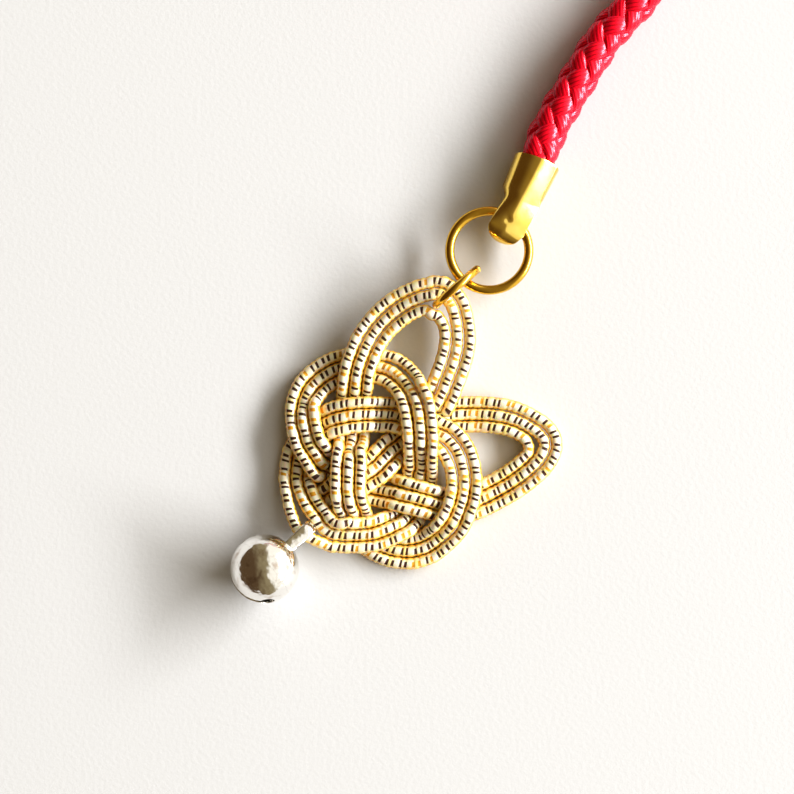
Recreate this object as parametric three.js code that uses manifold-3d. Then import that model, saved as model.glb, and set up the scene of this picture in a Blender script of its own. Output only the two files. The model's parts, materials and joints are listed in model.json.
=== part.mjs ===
// Knotted cord charm. Three parallel strands of wrapped paper cord are tied into a knot of five
// petals. Two gold rings and a folded gold end cap hang it from a red braided strap, and a small
// round bell hangs from its lowest petal. The charm lies on a table, the plane z = 0.
// Millimetres, +Z up.
import * as THREE from 'three';
import { mergeVertices } from 'three/addons/utils/BufferGeometryUtils.js';
import Module from 'manifold-3d';

// Knot: strand size, and how the strands cross
const strandDiameter = 0.94;
const strandGap = 0.06;
const layerGap = 0.06;
const facetRoom = 0.07;
const strandSpacing = 1.2;
const strandSides = 8;
const settleSpacing = 0.45;

// Small jump ring, which stands on edge through the knot
const smallRingOuterDiameter = 5.3;
const smallRingWire = 0.7;
const smallRingAngle = 41;
const smallRingCutPlace = 20;

// Large ring, which lies flat between the small ring and the end cap
const largeRingOuterDiameter = 7.55;
const largeRingWire = 0.8;
const largeRingAngle = 50;
const ringCut = 0.12;
const ringLinkShare = 0.54;

// Folded end caps. Seen from the front, the right edge runs straight from the mouth to the fold, and
// the left edge is pinched in at the neck.
const capSheet = 0.25;
const capMouthReach = 5.25;
const capFoldReach = 2.25;
const capMouthHalfWidth = 2.0;
const capMouthHalfHeight = 1.85;
const capBarrelShares = [0.35, 0.7];
const capShoulderDistance = 2.85;
const capShoulderLeftReach = 1.98;
const capShoulderHalfHeight = 1.7;
const capNeckDistance = 3.6;
const capNeckLeftReach = 1.55;
const capNeckHalfHeight = 1.35;
const capFoldLeftReach = 1.96;
const capFoldRightReach = 1.2;
const capFoldHalfHeight = 1.3;
const capFoldBow = 0.1;
const capFoldRoundShare = 0.93;
const capNeckBow = 0.75;
const capSeam = 0.14;
const capMouthBulge = 0.43;
const capBowAngle = 85;
const capAngle = 69;

// Strap
const strapDiameter = 3.1;
const strapGripDiameter = 1.9;
const strapGripDepth = 2.9;
const strapMouthGap = 0.3;
const strapDescentPoints = 4;
const strapSpacing = 4;
const strapSides = 8;
const coilRadius = 18.6;
const coilTurnGap = 0.5;
const coilTurns = 1.5;
const coilSides = 6;
const coilStepsPerTurn = 24;
const coilMeetingGap = 0.3;
const tailRadius = 7;
const tailAngle = 100;
const tailSteps = 6;

// Bell
const bellDiameter = 5.9;
const bellWall = 0.22;
const bellSeam = 0.16;
const bellSlotWidth = 0.5;
const bellSlotEndDiameter = 1.2;
const bellSlotEndAngle = 52;
const bellSlotRoll = 77;
const bellPlanAngle = 42.1;
const bellStrandReach = 4.58;
const earStripWidth = 1.0;
const earStripThickness = 0.25;
const earHoleWidth = 1.6;
const earHoleReach = 5.3;
const earFootSpread = 0.55;
const earClearance = 0.12;
const pelletDiameter = 1.6;
const pelletClearance = 0.1;

// Facets of round pieces
const ringSteps = 30;
const ringSides = 8;
const curveDivisions = 12;
const bellFacets = 28;
const bellArcSteps = 8;
const slotFanSteps = 12;
const slotHoleFacets = 16;
const pelletFacets = 14;
const pelletRings = 10;
const gapSamples = 480;
const axisTolerance = 0.002;
const capArcSteps = 6;
const capBowSteps = 8;

const strandPitch = strandDiameter + strandGap;
const layerRise = strandDiameter + layerGap;
const strandRadius = strandDiameter / 2;
const radians = THREE.MathUtils.degToRad;

// Strand routes. Each point is [x, y, layer]: a pixel of the photograph, and how many strands lie
// underneath. Neighbouring strands lie 11.7 pixels apart there.
const photoHeart = [375, 460];
const pixelPitchShare = 1 / 11.7;
const outerRoute = [
  [304, 504, 0], [311, 497, 0], [321, 489, 0.1], [333, 481, 0.9], [346, 472, 1], [360, 463, 1],
  [376, 451, 0.9], [388, 441, 0.5], [400, 430, 0.1], [414, 419.5, 0], [430, 411, 0], [446, 405.5, 0],
  [466, 403, 0], [486, 403.5, 0.2], [507, 406, 0.4], [521, 410.5, 0.4], [535.5, 417.5, 0.4],
  [547.5, 426, 0.4], [555.5, 438.5, 0.4], [556, 449.5, 0.4], [552, 460, 0.4], [543.5, 471, 0.4],
  [532, 482, 0.3], [520, 491.5, 0.2], [508, 499, 0.1], [495.5, 506, 0], [485, 511, 0], [474, 515.5, 0],
  [461, 518.5, 0], [448, 518.5, 0], [436, 516.5, 0.3], [424, 513, 0.95], [410, 509, 1.1], [396, 505, 1],
  [384, 502.5, 0.4], [370, 500, 0], [356, 496.5, 0], [342, 491.5, 0], [329, 485, 0.2], [321, 480, 0.7],
  [313, 473, 1.1], [306, 462, 1.2], [298, 446, 1.1], [293.5, 432, 0.7], [291.5, 418.5, 0.5],
  [292, 403.5, 0.4], [296, 390.5, 0.3], [304, 379, 0.2], [314.5, 370, 0.1], [327.5, 361.5, 0],
  [339.5, 356.5, 0], [352.5, 353.5, 0], [367, 353, 0], [381, 354.5, 0.3], [394.5, 357.5, 0.5],
  [406.5, 364.5, 0.7], [416, 374.5, 1], [422.5, 385.5, 1.7], [427.5, 398.5, 2.1], [430, 412, 2.2],
  [431.5, 428, 2.2], [432, 442, 2.1], [432, 456, 1.8], [431.5, 470, 0.8], [430, 484, 0], [428, 497, 0],
  [424, 511, 0], [415.5, 526.5, 0.3], [402, 535, 0.8], [384, 542, 1.1], [370, 545.5, 1.2],
  [355, 547, 1.2], [340, 546.5, 1.2], [326, 544, 1.3], [311.3, 538.2, 1.5], [298.6, 529.6, 1.5],
  [291.6, 515, 1.2], [287.5, 499.5, 0.8], [285.5, 482, 0.3], [286.5, 465.5, 0], [290.5, 450.5, 0],
  [296, 437.5, 0], [304, 425.5, 0], [314, 416.5, 0.15], [326, 410.5, 0.7], [342, 405.5, 1.1],
  [358, 403, 1.1], [370, 402.5, 1], [384, 403, 0.7], [397, 404.5, 0.7], [409, 407, 0.9],
  [421, 411.5, 1.1], [434, 418, 1.1], [446, 424.5, 1.2], [457.5, 433, 1.2], [467, 444, 1.2],
  [473, 458, 1.1], [476, 474, 1.1], [475.5, 490, 1.1], [471, 511, 1], [462, 531, 0.6], [446, 548, 0.2],
  [428, 559, 0], [409, 563, 0], [391, 560.5, 0], [376, 556, 0], [361, 547.5, 0], [349.5, 535.5, 0.1],
  [341.5, 520, 0.6], [338, 506, 1.3], [336.5, 492, 1.9], [336.5, 478, 2], [337.5, 464, 1.8],
  [338.5, 450, 1.5], [340, 437, 0.35], [341.5, 424, 0], [342.5, 410, 0], [343, 397, 0.3], [344, 385, 1],
  [346, 371, 1.4], [350.5, 356.5, 1.4], [355.5, 343.5, 1.4], [362, 330, 1.3], [371, 317.5, 1.3],
  [382, 307, 1.4], [394.5, 298, 1.5], [408.5, 290.5, 1.6], [422, 285.5, 1.7], [436, 283, 1.8],
  [447, 284.5, 1.8], [455, 291, 1.7], [462, 301, 1.6], [466.5, 313, 1.5], [469, 327, 1.4],
  [469, 341, 1.4], [466.5, 355, 1.4], [463, 367, 1.4], [458.5, 380, 1.4], [454, 391, 1.4],
  [449.5, 403, 1.3], [446, 411, 1.2], [443.5, 417, 1.1],
];
const middleRoute = [
  [311, 513, 0], [318, 507, 0], [328, 500, 0.4], [340, 491.5, 0.9], [353, 483, 1], [367, 473.5, 1],
  [383.5, 460, 0.8], [395, 449.5, 0.4], [408, 437.5, 0], [421, 428, 0], [437, 419.7, 0],
  [453, 415.2, 0], [469, 414.5, 0], [486, 414.5, 0.2], [502, 416.3, 0.4], [516.5, 420.2, 0.4],
  [529, 426, 0.4], [539.5, 433, 0.4], [545, 442, 0.4], [543.5, 452, 0.4], [537, 461, 0.4],
  [527, 469.5, 0.3], [517, 477, 0.2], [508.5, 483, 0.1], [499, 488.5, 0], [489, 494, 0],
  [478, 499.5, 0], [466, 504.5, 0], [454, 507, 0], [443, 505.5, 0.5], [431, 502, 1], [417, 498.5, 1.1],
  [402, 495.5, 0.9], [388, 492, 0.4], [373, 488.5, 0], [359, 484.5, 0], [345, 479.5, 0],
  [333.5, 473.5, 0.2], [326, 467, 0.7], [319, 459.5, 1.1], [311.5, 447.5, 1.2], [305, 435.5, 1.1],
  [302.5, 422.5, 0.8], [302.5, 409, 0.4], [305.5, 397, 0.3], [312, 386, 0.2], [321, 377.3, 0.1],
  [333, 370.5, 0], [346.5, 366, 0], [361, 364.5, 0], [379, 366.5, 0.3], [390.5, 370.5, 0.5],
  [401, 378.7, 0.8], [409.5, 388.7, 1.3], [415.3, 399, 1.9], [418.7, 412, 2.1], [420.2, 428, 2.1],
  [420.7, 442, 1.9], [420.7, 456, 1.2], [420, 470, 0.4], [418.5, 483, 0], [416.5, 496, 0],
  [411.5, 509.5, 0.1], [402, 521.5, 0.5], [387, 528.5, 1], [373, 533, 1.2], [358, 535, 1.2],
  [343, 533.5, 1.2], [329, 528, 1.2], [315.5, 518.5, 1.2], [305, 504, 1], [298.8, 488, 0.6],
  [296.5, 471, 0.1], [298.3, 456.5, 0], [303.3, 443.5, 0], [311.3, 432.8, 0], [319, 426.5, 0.3],
  [328, 421.5, 0.8], [342, 416.5, 1.1], [358, 414.4, 1.1], [370, 414.1, 0.9], [384, 414.8, 0.6],
  [397, 416.3, 0.6], [409, 419, 0.9], [422, 424, 1.1], [436, 430.5, 1.1], [447.5, 438.5, 1.1],
  [456, 449, 1.1], [461.5, 463, 1.1], [464, 478, 1.1], [463.5, 493, 1.1], [459.5, 508, 1],
  [452, 524, 0.6], [438.5, 538.5, 0.2], [425, 547.5, 0], [411, 551.5, 0], [395, 550.5, 0],
  [380, 545, 0], [366, 535, 0.1], [356, 520, 0.6], [350.5, 506, 1.3], [348, 492, 1.9], [347.8, 478, 2],
  [348.5, 464, 1.7], [350, 450, 1], [351.5, 437, 0.3], [353, 424, 0], [353.8, 411, 0], [354, 399, 0.3],
  [355, 387, 1], [357, 371.8, 1.4], [362.3, 355.8, 1.4], [369.8, 339.8, 1.3], [380.8, 324.3, 1.3],
  [390.3, 315, 1.4], [400.5, 307.3, 1.5], [411, 301, 1.6], [422.5, 296, 1.7], [434, 294.2, 1.8],
  [443.5, 297, 1.8], [450, 303, 1.7], [453.8, 312, 1.6], [456, 323, 1.5], [457.3, 334, 1.4],
  [457, 345, 1.4], [454.8, 357, 1.4], [450.8, 369, 1.4], [446.3, 380.5, 1.4], [441.5, 393, 1.5],
  [437, 403, 1.4], [433.5, 411, 1.2],
];
const innerRoute = [
  [320, 521, 0], [326, 516, 0], [334, 510, 0.4], [346, 501.5, 0.9], [359, 493, 1], [374, 482.5, 1],
  [388, 470.5, 0.8], [399, 459.5, 0.4], [411, 449, 0], [424, 439, 0], [439, 431, 0], [455, 426.5, 0],
  [471, 425.5, 0], [485, 425.7, 0.2], [496, 427, 0.4], [507.5, 429.5, 0.4], [517.5, 433.5, 0.4],
  [525, 439.5, 0.4], [528.5, 446.5, 0.4], [528, 454.5, 0.4], [523, 461, 0.4], [515.5, 467, 0.3],
  [506.5, 472.5, 0.2], [497, 478, 0.1], [488, 482.5, 0], [478, 487.5, 0], [468, 492, 0],
  [457, 494.5, 0], [446, 493.5, 0.4], [435, 490.5, 1], [421, 486.5, 1.1], [406, 482, 0.9],
  [392, 477.5, 0.4], [379, 474, 0], [365, 470, 0], [351, 465.5, 0], [341.5, 460.3, 0.1],
  [335, 456, 0.3], [329.5, 451, 0.8], [323.5, 443, 1.2], [318, 433, 1.1], [315, 420.8, 1.1],
  [314.7, 408.3, 0.8], [317.8, 397.3, 0.4], [324.3, 389, 0.2], [334.5, 382, 0], [346.8, 377.8, 0],
  [360, 376.5, 0], [374.3, 378, 0.2], [385, 381.3, 0.5], [393.8, 388.7, 0.9], [400.7, 399, 1.6],
  [404.7, 412, 2], [407.3, 428.2, 2.1], [409, 442, 1.9], [409.3, 456, 1.2], [409, 469, 0.4],
  [407.8, 481, 0], [405, 493, 0], [402, 503, 0], [394, 513.5, 0.2], [382, 519.5, 1], [370, 522.5, 1.2],
  [358, 523.5, 1.2], [346, 522, 1.2], [333, 517, 1.2], [323, 508.5, 1.2], [315.3, 496.5, 0.9],
  [310, 482, 0.5], [308.3, 468, 0], [311.3, 455.5, 0], [317.5, 446, 0.1], [327, 436.5, 0.85],
  [342, 429.3, 1.1], [358, 426.5, 1.1], [370, 426.3, 0.8], [384, 427, 0.5], [396, 428.5, 0.6],
  [407, 431.5, 0.9], [418, 436, 1.1], [430, 442, 1.1], [440, 450, 1.1], [447, 461, 1.1],
  [451.5, 474, 1.1], [452, 487, 1.1], [449, 501, 1.15], [442.5, 516, 1.2], [431, 529.5, 0.6],
  [419, 537, 0], [406, 540, 0], [392, 537.5, 0], [381, 531.5, 0], [372, 521, 0.2], [365, 510, 0.9],
  [361.5, 499, 1.5], [360, 487, 1.9], [360.3, 475, 2], [361.3, 463, 1.7], [362.5, 450, 1],
  [364, 437, 0.3], [365, 424, 0], [365.5, 411, 0], [365.8, 399, 0.3], [366.5, 387, 1],
  [368.8, 372, 1.4], [372.5, 361.3, 1.4], [376.5, 350.8, 1.3], [382, 341.3, 1.3], [391, 330.7, 1.4],
  [400.5, 321.8, 1.5], [410, 314.6, 1.6], [419, 311.5, 1.7], [428, 310.3, 1.8], [435.3, 314.3, 1.7],
  [441.3, 321.5, 1.6], [445, 331, 1.5], [446, 344, 1.4], [444.5, 355, 1.4], [441, 367, 1.4],
  [436, 379, 1.5], [431, 390, 1.4], [427, 399, 1.2],
];
// Where the small ring passes between the middle and inner strands, and where the outer strand
// passes through the ear of the bell
const ringPassPixel = [436.1, 305.0];
const earPassPixel = [303.8, 533.1];
const earPassLayer = 1.5;

// The strap's centre line as far as its coil, in offsets from the mouth of the cap
const strapRoute = [
  [0.81, 2.23], [1.92, 4.45], [3.12, 6.42], [4.40, 8.56], [5.85, 10.78],
  [7.48, 12.57], [8.67, 13.86], [10.25, 16.0], [11.5, 18.6], [12.15, 21.7], [12.35, 25.1],
  [12.4, 28.7], [12.4, 32.3],
];
const strapCoilStart = [12.4, 35.6];

const wasm = await Module();
wasm.setup();

const foil = new THREE.MeshStandardMaterial({ color: 0xd9c79a, roughness: 0.35, metalness: 0.4 });
const gold = new THREE.MeshStandardMaterial({ color: 0xd6ab4e, roughness: 0.18, metalness: 1 });
const silver = new THREE.MeshStandardMaterial({ color: 0xc9c8c6, roughness: 0.12, metalness: 1 });
const braid = new THREE.MeshStandardMaterial({ color: 0xb5121b, roughness: 0.7, metalness: 0 });

function planPlace([x, y]) {
  return new THREE.Vector2(x - photoHeart[0], photoHeart[1] - y)
    .multiplyScalar(strandPitch * pixelPitchShare);
}

function heading(angle) {
  return new THREE.Vector2(Math.cos(radians(angle)), Math.sin(radians(angle)));
}

function solidGeometry(positions, index) {
  const geometry = new THREE.BufferGeometry();
  geometry.setAttribute('position', new THREE.Float32BufferAttribute(positions, 3));
  geometry.setIndex(index);
  return geometry;
}

// A tube of round section along a curve, closed by a flat face at each end
function tube(curve, steps, sides, radiusAt) {
  const { normals, binormals } = curve.computeFrenetFrames(steps, false);
  const positions = [];
  const index = [];
  for (let i = 0; i <= steps; i++) {
    const centre = curve.getPointAt(i / steps);
    const radius = radiusAt(i / steps);
    for (let k = 0; k < sides; k++) {
      const angle = 2 * Math.PI * k / sides;
      const point = centre.clone()
        .addScaledVector(normals[i], radius * Math.cos(angle))
        .addScaledVector(binormals[i], radius * Math.sin(angle));
      positions.push(point.x, point.y, point.z);
    }
  }
  const startCentre = positions.length / 3;
  positions.push(...curve.getPointAt(0).toArray(), ...curve.getPointAt(1).toArray());
  for (let k = 0; k < sides; k++) {
    const next = (k + 1) % sides;
    for (let i = 0; i < steps; i++) {
      const here = i * sides;
      const ahead = here + sides;
      index.push(here + k, here + next, ahead + k);
      index.push(here + next, ahead + next, ahead + k);
    }
    const last = steps * sides;
    index.push(startCentre, next, k);
    index.push(startCentre + 1, last + k, last + next);
  }
  return solidGeometry(positions, index);
}

// A smooth curve through points, measured finely enough for even steps
function smoothCurve(points) {
  const curve = new THREE.CatmullRomCurve3(points);
  curve.arcLengthDivisions = curveDivisions * points.length;
  return curve;
}

// A flat ring of round wire about the origin, cut open at one place
class RingCurve extends THREE.Curve {
  constructor(radius, cutPlace) {
    super();
    this.radius = radius;
    this.cutPlace = radians(cutPlace);
    this.cutAngle = ringCut / radius;
  }

  getPoint(share, target = new THREE.Vector3()) {
    const angle = this.cutPlace + this.cutAngle / 2 + share * (2 * Math.PI - this.cutAngle);
    return target.set(this.radius * Math.cos(angle), this.radius * Math.sin(angle), 0);
  }
}

function ringGeometry(outerDiameter, wire, cutPlace) {
  return tube(new RingCurve((outerDiameter - wire) / 2, cutPlace), ringSteps, ringSides, () => wire / 2);
}

// Places of the rings and caps
const smallRingRadius = (smallRingOuterDiameter - smallRingWire) / 2;
const largeRingRadius = (largeRingOuterDiameter - largeRingWire) / 2;
const smallRingHeight = smallRingOuterDiameter / 2;
const capHeight = capMouthHalfHeight;
const smallRingPlan = planPlace(ringPassPixel).addScaledVector(heading(smallRingAngle), smallRingRadius);
const ringLinkRoom = smallRingRadius - smallRingWire / 2 - largeRingWire / 2;
const ringLinkPlan = smallRingPlan.clone()
  .addScaledVector(heading(smallRingAngle), ringLinkShare * ringLinkRoom);
const largeRingPlan = ringLinkPlan.clone().addScaledVector(heading(largeRingAngle), largeRingRadius);
const capPlan = largeRingPlan.clone().addScaledVector(heading(largeRingAngle), largeRingRadius);
const capMouthPlan = capPlan.clone().addScaledVector(heading(capAngle), capMouthReach);

// Settling of the strands. Each route is sampled at even steps. Where two strands cross, their
// heights part until one clears the other; where they run side by side, they part in plan. Between
// these pushes each strand's height is smoothed as a springy rod would be.
const crossingShare = 0.35;
const nearbyShare = 1.6;
const sameStrandShare = 3;
const stiffnessShare = 0.4;
const homePullShare = 0.02;
const settleRounds = 320;
const clearingRounds = 80;
const clearReach = strandPitch + facetRoom;

function sampledStrand(route) {
  const points = route.map((point) => {
    const place = planPlace(point);
    return new THREE.Vector3(place.x, place.y, strandRadius + point[2] * layerRise);
  });
  const curve = smoothCurve(points);
  return curve.getSpacedPoints(Math.round(curve.getLength() / settleSpacing));
}

function findContacts(strands) {
  const contacts = [];
  const skip = Math.ceil(sameStrandShare * strandPitch / settleSpacing);
  strands.forEach((first, a) => strands.slice(a).forEach((second, later) => {
    first.forEach((p, i) => {
      for (let j = later === 0 ? i + skip : 0; j < second.length; j++) {
        const q = second[j];
        if (Math.hypot(p.x - q.x, p.y - q.y) < nearbyShare * strandPitch) {
          const rise = p.z - q.z;
          const side = Math.abs(rise) >= crossingShare * layerRise ? Math.sign(rise) : 0;
          contacts.push({ p, q, side });
        }
      }
    });
  }));
  return contacts;
}

function settle(strands, obstacles) {
  const homes = strands.map((strand) => strand.map((point) => point.clone()));
  const contacts = findContacts(strands);
  const pushes = new Map(strands.flat().map((point) => [point, { sum: new THREE.Vector3(), count: 0 }]));
  const walls = [];
  for (const { centres, reach } of obstacles) {
    for (const point of pushes.keys()) {
      centres.filter((centre) => centre.distanceTo(point) < reach + strandPitch)
        .forEach((centre) => walls.push({ point, centre, reach }));
    }
  }
  const push = (point, direction, amount) => {
    const entry = pushes.get(point);
    entry.sum.addScaledVector(direction, amount);
    entry.count += 1;
  };
  const up = new THREE.Vector3(0, 0, 1);
  const apart = new THREE.Vector3();

  for (let round = 0; round < settleRounds + clearingRounds; round++) {
    for (const { p, q, side } of contacts) {
      const plan = Math.hypot(p.x - q.x, p.y - q.y);
      if (side === 0) {
        const missing = clearReach - p.distanceTo(q);
        if (missing > 0) {
          apart.set(p.x - q.x, p.y - q.y, 0).normalize();
          push(p, apart, missing / 2);
          push(q, apart, -missing / 2);
        }
      } else if (plan < clearReach) {
        const missing = Math.sqrt(clearReach ** 2 - plan ** 2) - side * (p.z - q.z);
        if (missing > 0) {
          push(p, up, side * missing / 2);
          push(q, up, -side * missing / 2);
        }
      }
    }
    for (const [point, entry] of pushes) {
      if (entry.count > 0) {
        point.addScaledVector(entry.sum, 1 / entry.count);
      }
      entry.sum.set(0, 0, 0);
      entry.count = 0;
    }
    for (const { point, centre, reach } of walls) {
      const missing = reach - point.distanceTo(centre);
      if (missing > 0) {
        point.addScaledVector(apart.subVectors(point, centre).normalize(), missing);
      }
    }
    if (round < settleRounds) {
      strands.forEach((strand, s) => {
        const heights = strand.map((point) => point.z);
        for (let i = 2; i < strand.length - 2; i++) {
          const rod = (4 * (heights[i - 1] + heights[i + 1]) - heights[i - 2] - heights[i + 2]) / 6;
          strand[i].z += stiffnessShare * (rod - heights[i]) + homePullShare * (homes[s][i].z - heights[i]);
        }
      });
    }
    strands.flat().forEach((point) => {
      point.z = Math.max(point.z, strandRadius);
    });
  }
}

const smallRingWirePoints = Array.from({ length: 4 * ringSteps }, (_, i) => {
  const angle = 2 * Math.PI * i / (4 * ringSteps);
  const along = heading(smallRingAngle).multiplyScalar(smallRingRadius * Math.cos(angle));
  return new THREE.Vector3(
    smallRingPlan.x + along.x,
    smallRingPlan.y + along.y,
    smallRingHeight + smallRingRadius * Math.sin(angle),
  );
});
const strands = [outerRoute, middleRoute, innerRoute].map(sampledStrand);
settle(strands, [
  { centres: smallRingWirePoints, reach: smallRingWire / 2 + strandRadius + strandGap + facetRoom },
]);

function strandGeometry(points) {
  const curve = smoothCurve(points);
  return tube(curve, Math.round(curve.getLength() / strandSpacing), strandSides, () => strandRadius);
}

// End cap: one strip of sheet from the front mouth, round the fold and back. Its frame has +Y
// towards the mouth and its origin where the ring's wire passes through the fold. Each station is
// [distance from the mouth, reach to the left, height of the crest, bow across the width].
const capFoldDistance = capMouthReach + capFoldReach - capFoldHalfHeight;
const capMouthBow = capMouthHalfHeight - capSeam / 2;
const capStations = [
  [0, capMouthHalfWidth, capMouthHalfHeight, capMouthBow],
  ...capBarrelShares.map(
    (share) => [share * capShoulderDistance, capMouthHalfWidth, capMouthHalfHeight, capMouthBow]),
  [capShoulderDistance, capShoulderLeftReach, capShoulderHalfHeight, capShoulderHalfHeight - capSeam / 2],
  [(capShoulderDistance + capNeckDistance) / 2, (capShoulderLeftReach + capNeckLeftReach) / 2,
    (capShoulderHalfHeight + capNeckHalfHeight) / 2, capNeckBow + (capMouthBow - capNeckBow) / 2],
  [capNeckDistance, capNeckLeftReach, capNeckHalfHeight, capNeckBow],
  [(capNeckDistance + capFoldDistance) / 2, (capNeckLeftReach + capFoldLeftReach) / 2,
    capFoldHalfHeight, (capNeckBow + capFoldBow) / 2],
  [capFoldDistance, capFoldLeftReach, capFoldHalfHeight, capFoldBow],
];

// Rows of the outer face. A row's crest stands off along its outward direction, and the strip bows
// back from it towards the edges as an arc does. Round the fold the rows narrow to a round end.
function capRows() {
  const row = (y, z, out, leftReach, rightReach, bow, bulge) => {
    const halfWidth = (leftReach + rightReach) / 2;
    const points = [];
    for (let i = 0; i <= capBowSteps; i++) {
      const across = 2 * i / capBowSteps - 1;
      const angle = radians(capBowAngle) * across;
      const drop = bow * (1 - Math.cos(angle)) / (1 - Math.cos(radians(capBowAngle)));
      points.push(new THREE.Vector3(
        rightReach - halfWidth + halfWidth * Math.sin(angle) / Math.sin(radians(capBowAngle)),
        y - drop * out.x + bulge * (1 - across ** 2),
        z - drop * out.y,
      ));
    }
    return points;
  };
  const side = (sign) => capStations.map(([distance, leftReach, height, bow]) => {
    const rightReach = THREE.MathUtils.lerp(
      capMouthHalfWidth, capFoldRightReach, distance / capFoldDistance);
    const bulge = capMouthBulge * Math.max(0, 1 - distance / capShoulderDistance) ** 2;
    const out = new THREE.Vector2(0, sign);
    return row(capMouthReach - distance, sign * height, out, leftReach, rightReach, bow, bulge);
  });
  const fold = [];
  const foldHalfWidth = (capFoldLeftReach + capFoldRightReach) / 2;
  for (let i = 1; i < capArcSteps; i++) {
    const out = heading(90 + 180 * i / capArcSteps);
    const y = capMouthReach - capFoldDistance + capFoldHalfHeight * out.x;
    const inset = foldHalfWidth * (1 - Math.sqrt(1 - (capFoldRoundShare * out.x) ** 2));
    fold.push(row(y, capFoldHalfHeight * out.y, out,
      capFoldLeftReach - inset, capFoldRightReach - inset, capFoldBow, 0));
  }
  return [...side(1), ...fold, ...side(-1).reverse()];
}

// The strip as a closed solid: the outer face, and the same face one sheet further in
function capGeometry() {
  const rows = capRows();
  const columns = rows[0].length;
  const inward = rows.map((row, i) => row.map((point, k) => {
    const along = new THREE.Vector3().subVectors(
      rows[Math.min(i + 1, rows.length - 1)][k], rows[Math.max(i - 1, 0)][k]);
    const across = new THREE.Vector3().subVectors(
      row[Math.min(k + 1, columns - 1)], row[Math.max(k - 1, 0)]);
    const normal = across.cross(along).normalize();
    return point.clone().addScaledVector(normal, capSheet);
  }));
  const positions = [...rows, ...inward].flat().flatMap((point) => point.toArray());
  const innerStart = rows.length * columns;
  const index = [];
  const quad = (a, b, c, d) => index.push(a, b, c, a, c, d);
  for (let i = 0; i + 1 < rows.length; i++) {
    for (let k = 0; k + 1 < columns; k++) {
      const a = i * columns + k;
      const b = a + columns;
      quad(a, b, b + 1, a + 1);
      quad(innerStart + a, innerStart + a + 1, innerStart + b + 1, innerStart + b);
    }
    for (const [k, flip] of [[0, false], [columns - 1, true]]) {
      const a = i * columns + k;
      const b = a + columns;
      const corners = [a, innerStart + a, innerStart + b, b];
      quad(...(flip ? corners.reverse() : corners));
    }
  }
  for (let k = 0; k + 1 < columns; k++) {
    const last = (rows.length - 1) * columns + k;
    quad(k, k + 1, innerStart + k + 1, innerStart + k);
    quad(last, innerStart + last, innerStart + last + 1, last + 1);
  }
  return solidGeometry(positions, index);
}

// A mesh's triangles as a solid for a boolean cut, and back
function toManifold(geometry) {
  geometry.deleteAttribute('normal');
  geometry.deleteAttribute('uv');
  const merged = mergeVertices(geometry);
  const corners = merged.index.array;
  const kept = [];
  for (let i = 0; i < corners.length; i += 3) {
    const [a, b, c] = corners.slice(i, i + 3);
    if (a !== b && b !== c && c !== a) {
      kept.push(a, b, c);
    }
  }
  return new wasm.Manifold(new wasm.Mesh({
    numProp: 3,
    vertProperties: new Float32Array(merged.attributes.position.array),
    triVerts: new Uint32Array(kept),
  }));
}

function fromManifold(solid) {
  const { vertProperties, triVerts } = solid.getMesh();
  return solidGeometry(Array.from(vertProperties), Array.from(triVerts));
}

// Bell, in a frame with its centre at the origin, +Z towards the ear and +Y across the ear's strip
const bellRadius = bellDiameter / 2;
const bellInnerRadius = bellRadius - bellWall;

// Half a hollow ball above the seam
function shellGeometry() {
  const profile = [];
  const arc = (radius, from, to) => {
    for (let i = 0; i <= bellArcSteps; i++) {
      const angle = from + (to - from) * i / bellArcSteps;
      profile.push(new THREE.Vector2(radius * Math.cos(angle), radius * Math.sin(angle)));
    }
  };
  arc(bellRadius, Math.asin(bellSeam / 2 / bellRadius), Math.PI / 2);
  arc(bellInnerRadius, Math.PI / 2, Math.asin(bellSeam / 2 / bellInnerRadius));
  profile.forEach((point) => {
    point.x = Math.abs(point.x) < axisTolerance ? 0 : point.x;
  });
  profile.push(profile[0].clone());
  const geometry = new THREE.LatheGeometry(profile, bellFacets);
  geometry.rotateX(Math.PI / 2);
  return geometry;
}

const earLegPlace = earHoleWidth / 2 + earStripThickness / 2;

function upperShellGeometry() {
  const slot = new THREE.BoxGeometry(
    2 * (earLegPlace + earStripThickness / 2 + earClearance),
    earStripWidth + 2 * earClearance,
    bellRadius,
  );
  slot.translate(0, 0, bellRadius);
  return fromManifold(toManifold(shellGeometry()).subtract(toManifold(slot)));
}

// The lower shell's sound slot runs through its pole between two round holes
function lowerShellGeometry() {
  const shell = shellGeometry();
  shell.rotateX(Math.PI);
  const fan = new THREE.Shape();
  fan.moveTo(0, 0);
  fan.absarc(0, 0, bellDiameter, radians(-90 - bellSlotEndAngle), radians(-90 + bellSlotEndAngle), false);
  const slot = new THREE.ExtrudeGeometry(
    fan, { depth: bellSlotWidth, bevelEnabled: false, curveSegments: slotFanSteps });
  slot.translate(0, 0, -bellSlotWidth / 2);
  slot.rotateX(Math.PI / 2);
  slot.rotateZ(radians(bellSlotRoll));
  let solid = toManifold(shell).subtract(toManifold(slot));
  for (const side of [-1, 1]) {
    const hole = new THREE.CylinderGeometry(
      bellSlotEndDiameter / 2, bellSlotEndDiameter / 2, bellDiameter, slotHoleFacets);
    hole.translate(0, -bellDiameter / 2, 0);
    hole.rotateX(Math.PI / 2);
    hole.rotateY(side * radians(bellSlotEndAngle));
    hole.rotateZ(radians(bellSlotRoll));
    solid = solid.subtract(toManifold(hole));
  }
  return fromManifold(solid);
}

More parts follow.
